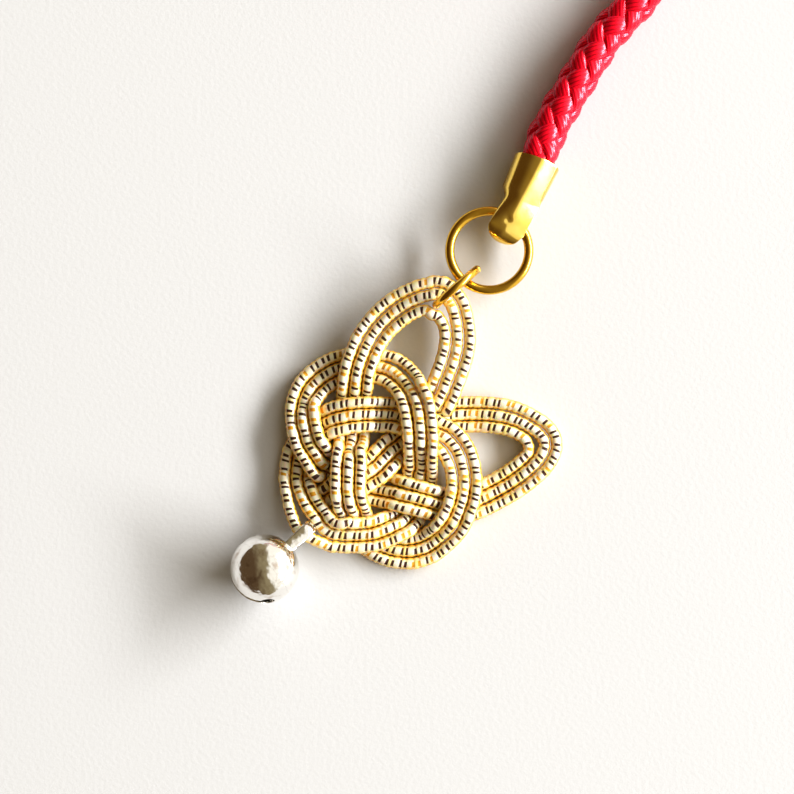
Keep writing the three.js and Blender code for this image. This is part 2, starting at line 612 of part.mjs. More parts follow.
// The ear is one strip: a foot under the shell, a leg, a round top, a leg and a foot
function earGeometry() {
  const earTopCentre = earHoleReach - earHoleWidth / 2;
  const footRadius = bellInnerRadius - earClearance - earStripThickness;
  const stripSide = (offset) => {
    const leg = earLegPlace + offset;
    const sole = footRadius + earStripThickness / 2 + offset;
    const toe = earLegPlace + earFootSpread;
    const half = [
      [toe, Math.sqrt(sole ** 2 - toe ** 2)],
      [leg, Math.sqrt(sole ** 2 - leg ** 2)],
    ];
    for (let i = 0; i <= capArcSteps; i++) {
      const out = heading(90 * i / capArcSteps).multiplyScalar(leg);
      half.push([out.x, earTopCentre + out.y]);
    }
    const mirrored = half.slice(0, -1).reverse().map(([across, up]) => [-across, up]);
    return [...half, ...mirrored].map(([across, up]) => new THREE.Vector2(across, up));
  };
  const outer = stripSide(earStripThickness / 2);
  const inner = stripSide(-earStripThickness / 2);
  const strip = new THREE.Shape([...inner, ...outer.reverse()]);
  const geometry = new THREE.ExtrudeGeometry(strip, { depth: earStripWidth, bevelEnabled: false });
  geometry.translate(0, 0, -earStripWidth / 2);
  geometry.rotateX(Math.PI / 2);
  return geometry;
}

const pieces = new THREE.Group();

function addPiece(name, geometry, material, holder = pieces) {
  const mesh = new THREE.Mesh(geometry, material);
  mesh.name = name;
  holder.add(mesh);
  return mesh;
}

function addHolder(plan, height, turn) {
  const holder = new THREE.Group();
  holder.position.set(plan.x, plan.y, height);
  holder.rotation.z = radians(turn);
  pieces.add(holder);
  return holder;
}

['outer', 'middle', 'inner'].forEach((name, i) => {
  addPiece(`knot_strand_${name}`, strandGeometry(strands[i]), foil);
});

const smallRingHolder = addHolder(smallRingPlan, smallRingHeight, smallRingAngle);
const smallRing = addPiece('small_jump_ring',
  ringGeometry(smallRingOuterDiameter, smallRingWire, smallRingCutPlace), gold, smallRingHolder);
smallRing.rotation.x = Math.PI / 2;

const largeRingHolder = addHolder(largeRingPlan, capHeight, 0);
addPiece('large_ring',
  ringGeometry(largeRingOuterDiameter, largeRingWire, largeRingAngle), gold, largeRingHolder);

const capHolder = addHolder(capPlan, capHeight, capAngle - 90);
addPiece('cord_end_cap', capGeometry(), gold, capHolder);

// The strap leaves the cap's mouth, comes down to the table and runs to its coil. Inside a cap it
// is squeezed to a slimmer core.
const strapRadius = strapDiameter / 2;
const mouthStandOff = capMouthBulge + strapMouthGap;

function strapPoint(plan, height) {
  return new THREE.Vector3(plan.x, plan.y, height);
}

function gripCore(mouthPlan, capTurn) {
  const length = strapGripDepth + mouthStandOff + strapRadius;
  const core = new THREE.CylinderGeometry(strapGripDiameter / 2, strapGripDiameter / 2, length, strapSides);
  core.translate(0, length / 2 - strapGripDepth, 0);
  core.rotateZ(radians(capTurn - 90));
  core.translate(mouthPlan.x, mouthPlan.y, capHeight);
  return toManifold(core);
}

function strapTube(points, steps, sides) {
  return toManifold(tube(smoothCurve(points), steps, sides, () => strapRadius));
}

const strapPlans = strapRoute.map(([x, y]) => new THREE.Vector2(x, y).add(capMouthPlan));
const coilMeeting = new THREE.Vector2(...strapCoilStart).add(capMouthPlan);
const strapCurvePoints = [
  strapPoint(capMouthPlan.clone().addScaledVector(heading(capAngle), mouthStandOff), capHeight),
  ...strapPlans.map((plan, i) => {
    const descent = Math.max(0, 1 - (i + 1) / strapDescentPoints) ** 2;
    return strapPoint(plan, strapRadius + (capHeight - strapRadius) * descent);
  }),
  strapPoint(coilMeeting, strapRadius),
];
const strapLength = smoothCurve(strapCurvePoints).getLength();
addPiece('strap_cord', fromManifold(
  strapTube(strapCurvePoints, Math.round(strapLength / strapSpacing), strapSides)
    .add(gripCore(capMouthPlan, capAngle))), braid);

// The coil: a straight start, a flat spiral inwards, and a tail that turns in to the far cap
const coilPitch = strapDiameter + coilTurnGap;
const coilEntry = coilMeeting.clone().add(new THREE.Vector2(0, coilMeetingGap));
const coilCentre = coilEntry.clone().add(new THREE.Vector2(-coilRadius, strapDiameter));
const coilPoints = [strapPoint(coilEntry, strapRadius)];
const spiralSteps = coilTurns * coilStepsPerTurn;
for (let i = 0; i <= spiralSteps; i++) {
  const turn = i / coilStepsPerTurn;
  const radius = coilRadius - coilPitch * turn;
  coilPoints.push(strapPoint(
    coilCentre.clone().addScaledVector(heading(360 * turn), radius), strapRadius));
}
const spiralEndRadius = coilRadius - coilPitch * coilTurns;
const spiralEndAngle = 360 * coilTurns;
const tailCentre = coilCentre.clone()
  .addScaledVector(heading(spiralEndAngle), spiralEndRadius - tailRadius);
for (let i = 1; i <= tailSteps; i++) {
  const plan = tailCentre.clone()
    .addScaledVector(heading(spiralEndAngle + tailAngle * i / tailSteps), tailRadius);
  coilPoints.push(strapPoint(plan, strapRadius + (capHeight - strapRadius) * i / tailSteps));
}
const tailHeading = spiralEndAngle + tailAngle + 90;
const tailEnd = tailCentre.clone()
  .addScaledVector(heading(spiralEndAngle + tailAngle), tailRadius)
  .addScaledVector(heading(tailHeading), strapDiameter);
coilPoints.push(strapPoint(tailEnd, capHeight));
const farMouthPlan = tailEnd.clone().addScaledVector(heading(tailHeading), mouthStandOff);
const coilCurve = smoothCurve(coilPoints);
const coilLength = coilCurve.getLength();
const coilStepLength = 2 * Math.PI * coilRadius / coilStepsPerTurn;
addPiece('strap_coil', fromManifold(
  strapTube(coilPoints, Math.round(coilLength / coilStepLength), coilSides)
    .add(gripCore(farMouthPlan, tailHeading + 180))), braid);

const farCapPlan = farMouthPlan.clone().addScaledVector(heading(tailHeading), capMouthReach);
const farCapHolder = addHolder(farCapPlan, capHeight, tailHeading + 90);
addPiece('far_end_cap', capGeometry(), gold, farCapHolder);

// The far ring hangs in the far cap's fold and leans down until its rim touches the table
const farRingHolder = addHolder(farCapPlan, capHeight, tailHeading);
const farRing = addPiece('far_ring',
  ringGeometry(largeRingOuterDiameter, largeRingWire, 180).translate(largeRingRadius, 0, 0),
  gold, farRingHolder);
farRing.rotation.y = Math.asin((capHeight - largeRingWire / 2) / (2 * largeRingRadius));

// The bell rests on the table, its ear leaning down to the strand that it hangs on
const earPassPlan = planPlace(earPassPixel);
const earPassHeight = strandRadius + earPassLayer * layerRise;
const bellLean = Math.asin((bellRadius - earPassHeight) / bellStrandReach);
const bellAlong = heading(bellPlanAngle);
const bellPlan = earPassPlan.clone().addScaledVector(bellAlong, -bellStrandReach * Math.cos(bellLean));
const bellAxis = new THREE.Vector3(bellAlong.x, bellAlong.y, -Math.tan(bellLean)).normalize();
const bellAcross = new THREE.Vector3(bellAlong.y, -bellAlong.x, 0);
const bellHolder = addHolder(bellPlan, bellRadius, 0);
bellHolder.quaternion.setFromRotationMatrix(
  new THREE.Matrix4().makeBasis(bellAcross.clone().cross(bellAxis), bellAcross, bellAxis));
addPiece('bell_upper_shell', upperShellGeometry(), silver, bellHolder);
addPiece('bell_lower_shell', lowerShellGeometry(), silver, bellHolder);
addPiece('bell_ear', earGeometry(), silver, bellHolder);

// The pellet lies at the lowest place inside the bell
const pellet = addPiece('bell_pellet',
  new THREE.SphereGeometry(pelletDiameter / 2, pelletFacets, pelletRings), silver, bellHolder);
pellet.position.x = -(bellInnerRadius - pelletDiameter / 2 - pelletClearance);

// Least gap between stretches of the coil more than half a turn apart along it
const coilSamples = coilCurve.getSpacedPoints(gapSamples);
const apartSamples = Math.round(gapSamples * Math.PI * tailRadius / coilLength);
let leastGap = Infinity;
coilSamples.forEach((point, i) => coilSamples.slice(i + apartSamples).forEach((other) => {
  leastGap = Math.min(leastGap, point.distanceTo(other) - strapDiameter);
}));
console.log(`coil: least gap to itself ${leastGap.toFixed(2)} mm`);
const wholeLength = 2 * (strapGripDepth + mouthStandOff) + strapLength + coilLength;
console.log(`strap: ${wholeLength.toFixed(1)} mm long`);

// The origin lies under the middle of the charm, without the strap beyond its first cap
const strapNames = ['strap_cord', 'strap_coil', 'far_end_cap', 'far_ring'];
const group = new THREE.Group();
group.add(pieces);
group.updateMatrixWorld(true);
const charmBox = new THREE.Box3();
pieces.traverse((piece) => {
  if (piece.isMesh && !strapNames.includes(piece.name)) {
    charmBox.expandByObject(piece, true);
  }
});
const charmMiddle = charmBox.getCenter(new THREE.Vector3());
pieces.position.set(-charmMiddle.x, -charmMiddle.y, -charmBox.min.z);

export default group;
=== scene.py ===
import json

import bmesh
import bpy
import numpy as np
from mathutils import Matrix


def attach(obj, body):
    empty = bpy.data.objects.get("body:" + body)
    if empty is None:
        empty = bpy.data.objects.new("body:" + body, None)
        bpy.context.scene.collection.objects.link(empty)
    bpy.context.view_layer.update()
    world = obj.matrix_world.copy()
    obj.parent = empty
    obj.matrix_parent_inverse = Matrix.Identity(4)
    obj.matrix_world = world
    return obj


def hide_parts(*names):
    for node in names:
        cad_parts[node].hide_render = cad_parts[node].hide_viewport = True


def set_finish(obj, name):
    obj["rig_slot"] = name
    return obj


# Knotted cord charm: a knot of wrapped paper cord, gold rings, folded end caps, a braided red strap
# and a small bell. Every shape is worked out in millimetres about the knot's heart and goes into its
# mesh in metres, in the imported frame.
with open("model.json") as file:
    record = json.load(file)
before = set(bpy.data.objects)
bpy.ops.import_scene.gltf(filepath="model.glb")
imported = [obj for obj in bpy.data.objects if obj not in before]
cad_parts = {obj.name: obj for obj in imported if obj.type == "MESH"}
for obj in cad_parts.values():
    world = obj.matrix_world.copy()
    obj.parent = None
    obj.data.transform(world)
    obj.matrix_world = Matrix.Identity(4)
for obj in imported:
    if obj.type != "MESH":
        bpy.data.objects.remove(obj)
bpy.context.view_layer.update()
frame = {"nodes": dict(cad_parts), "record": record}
print("scene: frame loaded,", len(frame["nodes"]), "nodes")

mm = 0.001
picture = {"heart": (375.0, 460.0), "pixelsPerMm": 11.7, "side": 794}
heartPlace = np.array([-1.8295, -7.0066, 0.0009])  # the knot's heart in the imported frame, in mm
up = np.array([0.0, 0.0, 1.0])


def placeOf(pixel):
    # a pixel of the photograph as x, y in mm about the knot's heart
    return (np.array(pixel, float) - picture["heart"]) * (1, -1) / picture["pixelsPerMm"]


def together(*parts):
    # coordinates, each a number or an array, as one array of points
    return np.stack(np.broadcast_arrays(*parts), axis=-1)


def heading(degrees):
    # unit direction in the plan: (cos a, sin a)
    return together(np.cos(np.radians(degrees)), np.sin(np.radians(degrees)))


def lift(plan, height):
    # plan points and their heights as points in space
    plan = np.asarray(plan, float)
    return together(plan[..., 0], plan[..., 1], height)


def unit(vectors):
    # each vector divided by its length
    return vectors / np.linalg.norm(vectors, axis=-1, keepdims=True)


def roundTurn(count):
    # evenly spaced angles of one full turn, in radians
    return np.arange(count) * 2 * np.pi / count


def addObject(name, data):
    made = bpy.data.objects.new(name, data)
    bpy.context.scene.collection.objects.link(made)
    return made


# The camera looks straight down from a height, and sees the photograph's width
camera = {"height": 420.0, "sensor": 36.0, "levelSeen": 1.5}
pictureMiddle = placeOf((picture["side"] / 2, picture["side"] / 2)) + heartPlace[:2]
cameraData = bpy.data.cameras.new("camera")
cameraData.sensor_width = camera["sensor"]
cameraData.lens = camera["sensor"] * (camera["height"] - camera["levelSeen"]) \
    / (picture["side"] / picture["pixelsPerMm"])
bpy.context.scene.camera = addObject("camera", cameraData)
bpy.context.scene.camera.location = (lift(pictureMiddle, camera["height"]) * mm).tolist()
print("scene: camera looks straight down")


def smoothPath(points, spacing, samples=24):
    # Centripetal Catmull-Rom curve through the points: in each span, with knots a square root of the
    # distance apart, p = c0 + c1 t + c2 t^2 + c3 t^3. Returned at even steps near the spacing.
    points = np.asarray(points, float)
    ends = np.vstack([2 * points[0] - points[1], points, 2 * points[-1] - points[-2]])
    a, b, c, d = ends[:-3], ends[1:-2], ends[2:-1], ends[3:]
    ab, bc, cd = [np.sqrt(np.linalg.norm(q - p, axis=1))[:, None] for p, q in ((a, b), (b, c), (c, d))]
    leave = ((b - a) / ab - (c - a) / (ab + bc) + (c - b) / bc) * bc
    arrive = ((c - b) / bc - (d - b) / (bc + cd) + (d - c) / cd) * bc
    t = np.linspace(0, 1, samples, endpoint=False)[None, :, None]
    c0, c1, c2, c3 = [share[:, None, :] for share in (
        b, leave, 3 * (c - b) - 2 * leave - arrive, 2 * (b - c) + leave + arrive)]
    fine = (c0 + c1 * t + c2 * t ** 2 + c3 * t ** 3).reshape(-1, points.shape[1])
    fine = np.vstack([fine, points[-1]])
    distance = np.concatenate([[0], np.cumsum(np.linalg.norm(np.diff(fine, axis=0), axis=1))])
    even = np.linspace(0, distance[-1], max(2, round(distance[-1] / spacing)) + 1)
    return together(*[np.interp(even, distance, column) for column in fine.T]), even


def pathFrames(path):
    # side = the path's unit step x up, top = side x that step
    along = unit(np.gradient(path, axis=0))
    side = unit(np.cross(along, up))
    return side, np.cross(side, along)


def gridFaces(rows, columns, closeColumns=True):
    # quads between neighbouring rows and columns of a grid, wrapped round where its columns close
    i = np.arange(rows - 1)[:, None]
    k = np.arange(columns if closeColumns else columns - 1)[None, :]
    kNext = (k + 1) % columns
    quads = together(i * columns + k, i * columns + kNext, (i + 1) * columns + kNext, (i + 1) * columns + k)
    return quads.reshape(-1, 4)


def fan(*corners):
    # triangles by their three corners, each one number or one for every triangle
    return together(*corners).tolist()


def tubeFaces(rows, columns):
    # a tube's quads, and a fan over each end about the two points that follow its grid
    k = np.arange(columns)
    kNext = (k + 1) % columns
    last = (rows - 1) * columns
    return gridFaces(rows, columns).tolist() + fan(rows * columns, kNext, k) \
        + fan(rows * columns + 1, last + k, last + kNext)


def makePiece(name, points, faces, body, slot, nodes=(), marks=None, turned=None):
    # Points in mm about the heart, or in a turned frame given as (axes, origin). Marks are vectors
    # kept on the points for the materials. A piece without a body is a tool or the table.
    if turned is not None:
        points = points @ turned[0] + turned[1]
    mesh = bpy.data.meshes.new(name)
    mesh.from_pydata(((points + heartPlace) * mm).tolist(), [], faces)
    for key, values in (marks or {}).items():
        attribute = mesh.attributes.new(key, "FLOAT_VECTOR", "POINT")
        attribute.data.foreach_set("vector", np.ascontiguousarray(values, np.float32).ravel())
    mesh.shade_smooth()
    piece = addObject(name, mesh)
    if body:
        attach(piece, body)
        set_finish(piece, slot)
        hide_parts(*nodes)
    return piece


def closedTube(path, grid, *markGrids):
    # the grid's points with the path's two ends after them, and each grid of marks carried to those ends
    columns = grid.shape[1]
    carried = [marks.reshape(-1, 3) for marks in markGrids]
    return [np.vstack([grid.reshape(-1, 3), path[0], path[-1]])] + [
        np.vstack([flat, flat[:columns].mean(0), flat[-columns:].mean(0)]) for flat in carried]


# Places of the rings and caps, one after the other from where the small ring meets the knot
rings = {"smallOuter": 5.3, "smallWire": 0.7, "smallAngle": 41, "smallCut": 20,
         "largeOuter": 7.55, "largeWire": 0.8, "largeAngle": 50, "farCut": 180,
         "cut": 0.12, "endRound": 0.12, "endDraw": 0.16, "linkShare": 0.54,
         "passPixel": (436.1, 305.0), "steps": 120, "sides": 20}
cap = {"mouthReach": 5.25, "foldReach": 2.25, "angle": 69, "sheet": 0.25, "seam": 0.14,
       "mouth": (2.0, 1.85), "shoulder": (2.85, 1.98), "neck": (3.6, 1.55), "lidShares": (0, 0.35, 0.7),
       "shoulderBow": 0.95, "foldLeft": 1.96, "foldRight": 1.2, "foldHeight": 1.3, "foldBow": 0.1,
       "foldRound": 0.93, "foldRows": 24, "neckBow": 0.95, "mouthBulge": 0.43, "bowAngle": 85,
       "bowPower": 0.85, "columns": 56, "rowStep": 0.12, "facetWidth": 1.68, "facetLean": 31,
       "facetCrease": 0.1, "facetFoldShare": 0.72, "facetFade": 4,
       "edgeRound": 0.06, "edgeSteps": 3, "edgeAngle": 0.9}
smallRadius = (rings["smallOuter"] - rings["smallWire"]) / 2
largeRadius = (rings["largeOuter"] - rings["largeWire"]) / 2
capHeight = cap["mouth"][1]
smallRingPlan = placeOf(rings["passPixel"]) + heading(rings["smallAngle"]) * smallRadius
linkRoom = smallRadius - rings["smallWire"] / 2 - rings["largeWire"] / 2
linkPlan = smallRingPlan + heading(rings["smallAngle"]) * rings["linkShare"] * linkRoom
largeRingPlan = linkPlan + heading(rings["largeAngle"]) * largeRadius
capPlan = largeRingPlan + heading(rings["largeAngle"]) * largeRadius
capMouth = capPlan + heading(cap["angle"]) * cap["mouthReach"]

# Strap: a round braid of eight yarns, four wound each way, from the cap to its far end
strap = {"diameter": 3.1, "length": 214.0, "gripDepth": 2.9, "gripShare": 0.72, "gripPower": 0.6,
         "mouthGap": 0.3, "yarns": 8, "yarnLead": 10.9, "yarnWidth": 1.64, "yarnThickness": 0.72,
         "yarnShift": 7.3, "over": 1.34, "under": 0.92, "fullFrom": 1.25, "step": 0.33, "yarnSides": 12,
         "route": [(0.81, 2.23), (1.92, 4.45), (3.12, 6.42), (4.40, 8.56), (5.85, 10.78), (7.48, 12.57),
                   (8.67, 13.86), (10.25, 16.0), (11.5, 18.6), (12.15, 21.7), (12.35, 25.1), (12.4, 28.7),
                   (12.4, 32.3)],
         "coilStart": (12.4, 35.6), "descentPoints": 4}
coil = {"radius": 18.6, "turnGap": 0.5, "turns": 1.5, "stepsPerTurn": 24, "meetingGap": 0.3,
        "tailRadius": 7.0, "tailAngle": 100, "tailSteps": 6}
strapRadius = strap["diameter"] / 2
standOff = cap["mouthBulge"] + strap["mouthGap"]
capRise = capHeight - strapRadius

routePlan = np.array(strap["route"])
descent = np.clip(1 - np.arange(1, len(routePlan) + 1) / strap["descentPoints"], 0, None) ** 2
routePoints = lift(routePlan + capMouth, strapRadius + capRise * descent)
gripAlong = np.array([-strap["gripDepth"], -strap["gripDepth"] / 2, standOff])
gripPoints = lift(capMouth + gripAlong[:, None] * heading(cap["angle"]), capHeight)
coilMeeting = np.array(strap["coilStart"]) + capMouth
coilCentre = coilMeeting + (-coil["radius"], coil["meetingGap"] + strap["diameter"])
coilPitch = strap["diameter"] + coil["turnGap"]
turn = np.arange(round(coil["turns"] * coil["stepsPerTurn"]) + 1) / coil["stepsPerTurn"]
spiral = lift(coilCentre + heading(360 * turn) * (coil["radius"] - coilPitch * turn)[:, None], strapRadius)
endRadius = coil["radius"] - coilPitch * coil["turns"]
endAngle = 360 * coil["turns"]
tailCentre = coilCentre + heading(endAngle) * (endRadius - coil["tailRadius"])
tailShare = np.arange(1, coil["tailSteps"] + 1) / coil["tailSteps"]
tail = lift(tailCentre + heading(endAngle + coil["tailAngle"] * tailShare) * coil["tailRadius"],
            strapRadius + capRise * tailShare)
tailHeading = endAngle + coil["tailAngle"] + 90
farMouth = tail[-1, :2] + heading(tailHeading) * (strap["diameter"] + standOff)
farCapPlan = farMouth + heading(tailHeading) * cap["mouthReach"]
farAlong = np.array([-standOff, strap["gripDepth"] / 2, strap["gripDepth"]])
farPoints = lift(farMouth + farAlong[:, None] * heading(tailHeading), capHeight)
strapStops = [gripPoints, routePoints, lift(coilMeeting, strapRadius), spiral, tail, farPoints]
strapPath, strapDistance = smoothPath(np.vstack(strapStops), strap["step"])
# on the table the braid's middle is as high as its yarns reach
strapPath[:, 2] = np.maximum(strapPath[:, 2], strap["over"] + strap["yarnThickness"] / 2)


def yarnTube(yarn, side, top, squeeze):
    # A yarn winds round the path at angle a = base + 2 pi s / lead. Its distance from the middle swings
    # between under and over as cos(pairs a), in turn with the yarns that wind the other way, and its
    # section is a flat ellipse, wide along the winding's cross direction. In the caps it is squeezed.
    # Marks: the way across the yarn and the distance along it.
    way = 1 if yarn % 2 == 0 else -1
    pairs = strap["yarns"] // 2
    wind = 2 * np.pi / pairs * (yarn // 2) + way * 2 * np.pi * strapDistance / strap["yarnLead"]
    middleRadius = (strap["over"] + strap["under"]) / 2
    swing = way * (strap["over"] - strap["under"]) / 2
    radius = (middleRadius + swing * np.cos(pairs * wind)) * squeeze
    outward = top * np.cos(wind)[:, None] + side * np.sin(wind)[:, None]
    centre = strapPath + outward * radius[:, None]
    yarnAlong = unit(np.gradient(centre, axis=0))
    across = unit(np.cross(yarnAlong, outward))
    out = np.cross(across, yarnAlong)
    halfWidth = (strap["yarnWidth"] / 2 * squeeze)[:, None, None]
    halfThickness = (strap["yarnThickness"] / 2 * squeeze)[:, None, None]
    sectionAngle = roundTurn(strap["yarnSides"])
    sines, cosines = np.sin(sectionAngle)[None, :, None], np.cos(sectionAngle)[None, :, None]
    grid = centre[:, None, :] + out[:, None, :] * halfThickness * cosines \
        + across[:, None, :] * halfWidth * sines
    yarnDistance = strapDistance[:, None] / np.cos(np.arctan(2 * np.pi / strap["yarnLead"]))
    marks = together(sines[..., 0], yarnDistance + strap["yarnShift"] * yarn, 0)
    return *closedTube(centre, grid, marks), tubeFaces(*grid.shape[:2])


def braidPiece():
    # in the caps the braid is gripShare as thick, and it fills out as 1 - (1 - way / fullFrom)^gripPower
    inGrip = np.minimum(strapDistance, strapDistance[-1] - strapDistance) / strap["gripDepth"]
    tight = (1 - np.clip(inGrip / strap["fullFrom"], 0, 1)) ** strap["gripPower"]
    side, top = pathFrames(strapPath)
    points, marks, faces = [], [], []
    for yarn in range(strap["yarns"]):
        yarnPoints, yarnMarks, yarnFaces = yarnTube(yarn, side, top, 1 - (1 - strap["gripShare"]) * tight)
        before = sum(map(len, points))
        faces += [[before + corner for corner in face] for face in yarnFaces]
        points.append(yarnPoints)
        marks.append(yarnMarks)
    return makePiece("strap_braid", np.vstack(points), faces, "strap", "red_braid",
                     ("strap_cord", "strap_coil"), {"yarn": np.vstack(marks)})


strapPiece = braidPiece()
print("scene: strap braided,", round(strapDistance[-1], 1), "mm of path,",
      len(strapPiece.data.polygons), "faces")


def ringPiece(name, size, cutPlace, body, node, *turned):
    # A ring of round wire, cut open at one place: centre line R (cos a, sin a, 0), and wire / 2 round
    # it, drawn in by endDraw (1 - way from the end)^2 at both ends
    outer, wire = rings[size + "Outer"], rings[size + "Wire"]
    radius = (outer - wire) / 2
    halfCut = rings["cut"] / radius / 2
    a = np.radians(cutPlace) + np.linspace(halfCut, 2 * np.pi - halfCut, rings["steps"] + 1)
    fromEnd = np.minimum(a - a[0], a[-1] - a) * radius / (rings["endRound"] * wire)
    thickness = wire / 2 * (1 - rings["endDraw"] * np.clip(1 - fromEnd, 0, 1) ** 2)
    outward = together(np.cos(a), np.sin(a), 0)
    b = roundTurn(rings["sides"])
    grid = (radius * outward)[:, None, :] + thickness[:, None, None] * (
        outward[:, None, :] * np.cos(b)[None, :, None] - up * np.sin(b)[None, :, None])
    points = np.vstack([grid.reshape(-1, 3), radius * outward[0], radius * outward[-1]])
    return makePiece(name, points, tubeFaces(*grid.shape[:2]), body, "gold_plate", (node,), turned=turned)


# The small ring stands on edge, the large one lies at the caps' height, and the far one leans down
smallAlong = lift(heading(rings["smallAngle"]), 0)
smallAxes = np.stack([smallAlong, up, np.cross(smallAlong, up)])
smallRing = ringPiece("small_ring_wire", "small", rings["smallCut"], "small_link", "small_jump_ring",
                      smallAxes, lift(smallRingPlan, rings["smallOuter"] / 2))
largeRing = ringPiece("large_ring_wire", "large", rings["largeAngle"], "large_link", "large_ring",
                      np.eye(3), lift(largeRingPlan, capHeight))
farLean = np.arcsin((capHeight - rings["largeWire"] / 2) / (2 * largeRadius))
farAcross = lift(heading(tailHeading + 90), 0)
farDown = np.cos(farLean) * lift(heading(tailHeading), 0) - np.sin(farLean) * up
farAxes = np.stack([farDown, farAcross, np.cross(farDown, farAcross)])
farRing = ringPiece("far_ring_wire", "large", rings["farCut"], "far_eye", "far_ring",
                    farAxes, lift(farCapPlan, capHeight) + farDown * largeRadius)
print("scene: three rings")


def capGrid():
    # One strip from the front mouth over the fold to the back mouth, in a frame with +Y to the mouth.
    # Stations give the left reach and bow, with a smooth curve between them. The crest runs down evenly
    # and the right edge is straight. A row bows back from its crest as 1 - (cos a)^power does, and spreads
    # as (sin a)^power, so that its middle is nearly flat.
    # Round the fold the rows narrow as sqrt(1 - (round cos a)^2). A flat facet along the right side
    # leans down as tan(lean) times the way past its crease, and is shallower at the fold.
    foldDistance = cap["mouthReach"] + cap["foldReach"] - cap["foldHeight"]
    mouthBow = cap["mouth"][1] - cap["seam"] / 2
    shoulder, neck, foldHeight = cap["shoulder"], cap["neck"], cap["foldHeight"]
    foldLeft, foldRight, neckBow, foldBow = cap["foldLeft"], cap["foldRight"], cap["neckBow"], cap["foldBow"]
    mouthLeft, mouthHeight = cap["mouth"]
    stations = np.array([
        *[(shoulder[0] * share, mouthLeft, mouthBow) for share in cap["lidShares"]],
        (*shoulder, mouthBow * cap["shoulderBow"]),
        ((shoulder[0] + neck[0]) / 2, (shoulder[1] + neck[1]) / 2, (neckBow + mouthBow) / 2),
        (*neck, neckBow),
        ((neck[0] + foldDistance) / 2, (neck[1] + foldLeft) / 2, (neckBow + foldBow) / 2),
        (foldDistance, foldLeft, foldBow)])
    rows, _ = smoothPath(stations, cap["rowStep"])
    distance, leftReach, bow = rows.T
    way = distance / foldDistance
    height = mouthHeight + (foldHeight - mouthHeight) * way
    rightReach = mouthLeft + (foldRight - mouthLeft) * way
    bulge = cap["mouthBulge"] * np.clip(1 - distance / shoulder[0], 0, None) ** 2
    turnAngle = np.arange(1, cap["foldRows"]) / cap["foldRows"] * np.pi + np.pi / 2
    cosines, sines = np.cos(turnAngle), np.sin(turnAngle)
    foldHalf = (foldLeft + foldRight) / 2 * np.sqrt(1 - (cap["foldRound"] * cosines) ** 2)
    pastNeck = np.clip((distance - neck[0]) / (foldDistance - neck[0]), 0, 1)
    facetShare = 1 - (1 - cap["facetFoldShare"]) * pastNeck

    def overFold(front, fold, mirror=1):
        # a value at each row: the front rows, those round the fold, and the front's again for the back
        return np.concatenate([front, np.broadcast_to(fold, turnAngle.shape), mirror * front[::-1]])[:, None]

    y = overFold(cap["mouthReach"] - distance, cap["mouthReach"] - foldDistance + foldHeight * cosines)
    z = overFold(height, foldHeight * sines, -1)
    outY = overFold(0 * distance, cosines)
    outZ = overFold(0 * distance + 1, sines, -1)
    half = overFold((rightReach + leftReach) / 2, foldHalf)
    middle = overFold((rightReach - leftReach) / 2, (foldRight - foldLeft) / 2)
    across = np.linspace(-1, 1, cap["columns"] + 1)
    a = np.radians(cap["bowAngle"]) * across
    power = cap["bowPower"]
    drop = overFold(bow, foldBow) * (1 - np.cos(a) ** power) / (1 - np.cos(a[-1]) ** power)
    x = middle + half * np.sign(a) * (np.abs(np.sin(a)) / np.sin(a[-1])) ** power
    past = x - (middle + half - cap["facetWidth"])
    facet = (past + np.sqrt(past ** 2 + cap["facetCrease"] ** 2)) / 2 * np.tan(np.radians(cap["facetLean"]))
    drop = np.maximum(drop, facet * overFold(facetShare, cap["facetFoldShare"] * sines ** cap["facetFade"]))
    return together(x, y - drop * outY + overFold(bulge, 0) * (1 - across ** 2), z - drop * outZ)


def addModifiers(piece, *entries):
    for kind, settings in entries:
        modifier = piece.modifiers.new(kind.lower(), kind)
        for key, value in settings.items():
            setattr(modifier, key, value)


dimple = {"pixel": (508, 221), "radius": 0.3, "depth": 0.13}


def capPiece(name, plan, degrees, node, dimpled=False):
    # The cap's y points along the given heading, towards its mouth. In the dimple the upper side sinks
    # as depth * exp(-(r / radius)^2).
    mouthWay = lift(heading(degrees), 0)
    axes = np.stack([np.cross(mouthWay, up), mouthWay, up])
    grid = capGrid()
    if dimpled:
        dimplePlace = (lift(placeOf(dimple["pixel"]) - plan, 0) @ axes.T)[:2]
        away = np.linalg.norm(grid[..., :2] - dimplePlace, axis=-1)
        grid[..., 2] -= dimple["depth"] * np.exp(-(away / dimple["radius"]) ** 2) * (grid[..., 2] > 0)
    faces = gridFaces(*grid.shape[:2], closeColumns=False)[:, ::-1].tolist()
    piece = makePiece(name, grid.reshape(-1, 3), faces, "strap", "gold_plate", (node,),
                      turned=(axes, lift(plan, capHeight)))
    addModifiers(piece, ("SOLIDIFY", {"thickness": cap["sheet"] * mm, "offset": -1, "use_even_offset": True}),
                 ("BEVEL", {"width": cap["edgeRound"] * mm, "segments": cap["edgeSteps"],
                            "limit_method": "ANGLE", "angle_limit": cap["edgeAngle"]}))
    return piece


nearCap = capPiece("near_cap", capPlan, cap["angle"], "cord_end_cap", dimpled=True)
farCap = capPiece("far_cap", farCapPlan, tailHeading + 180, "far_end_cap")
print("scene: end caps folded")

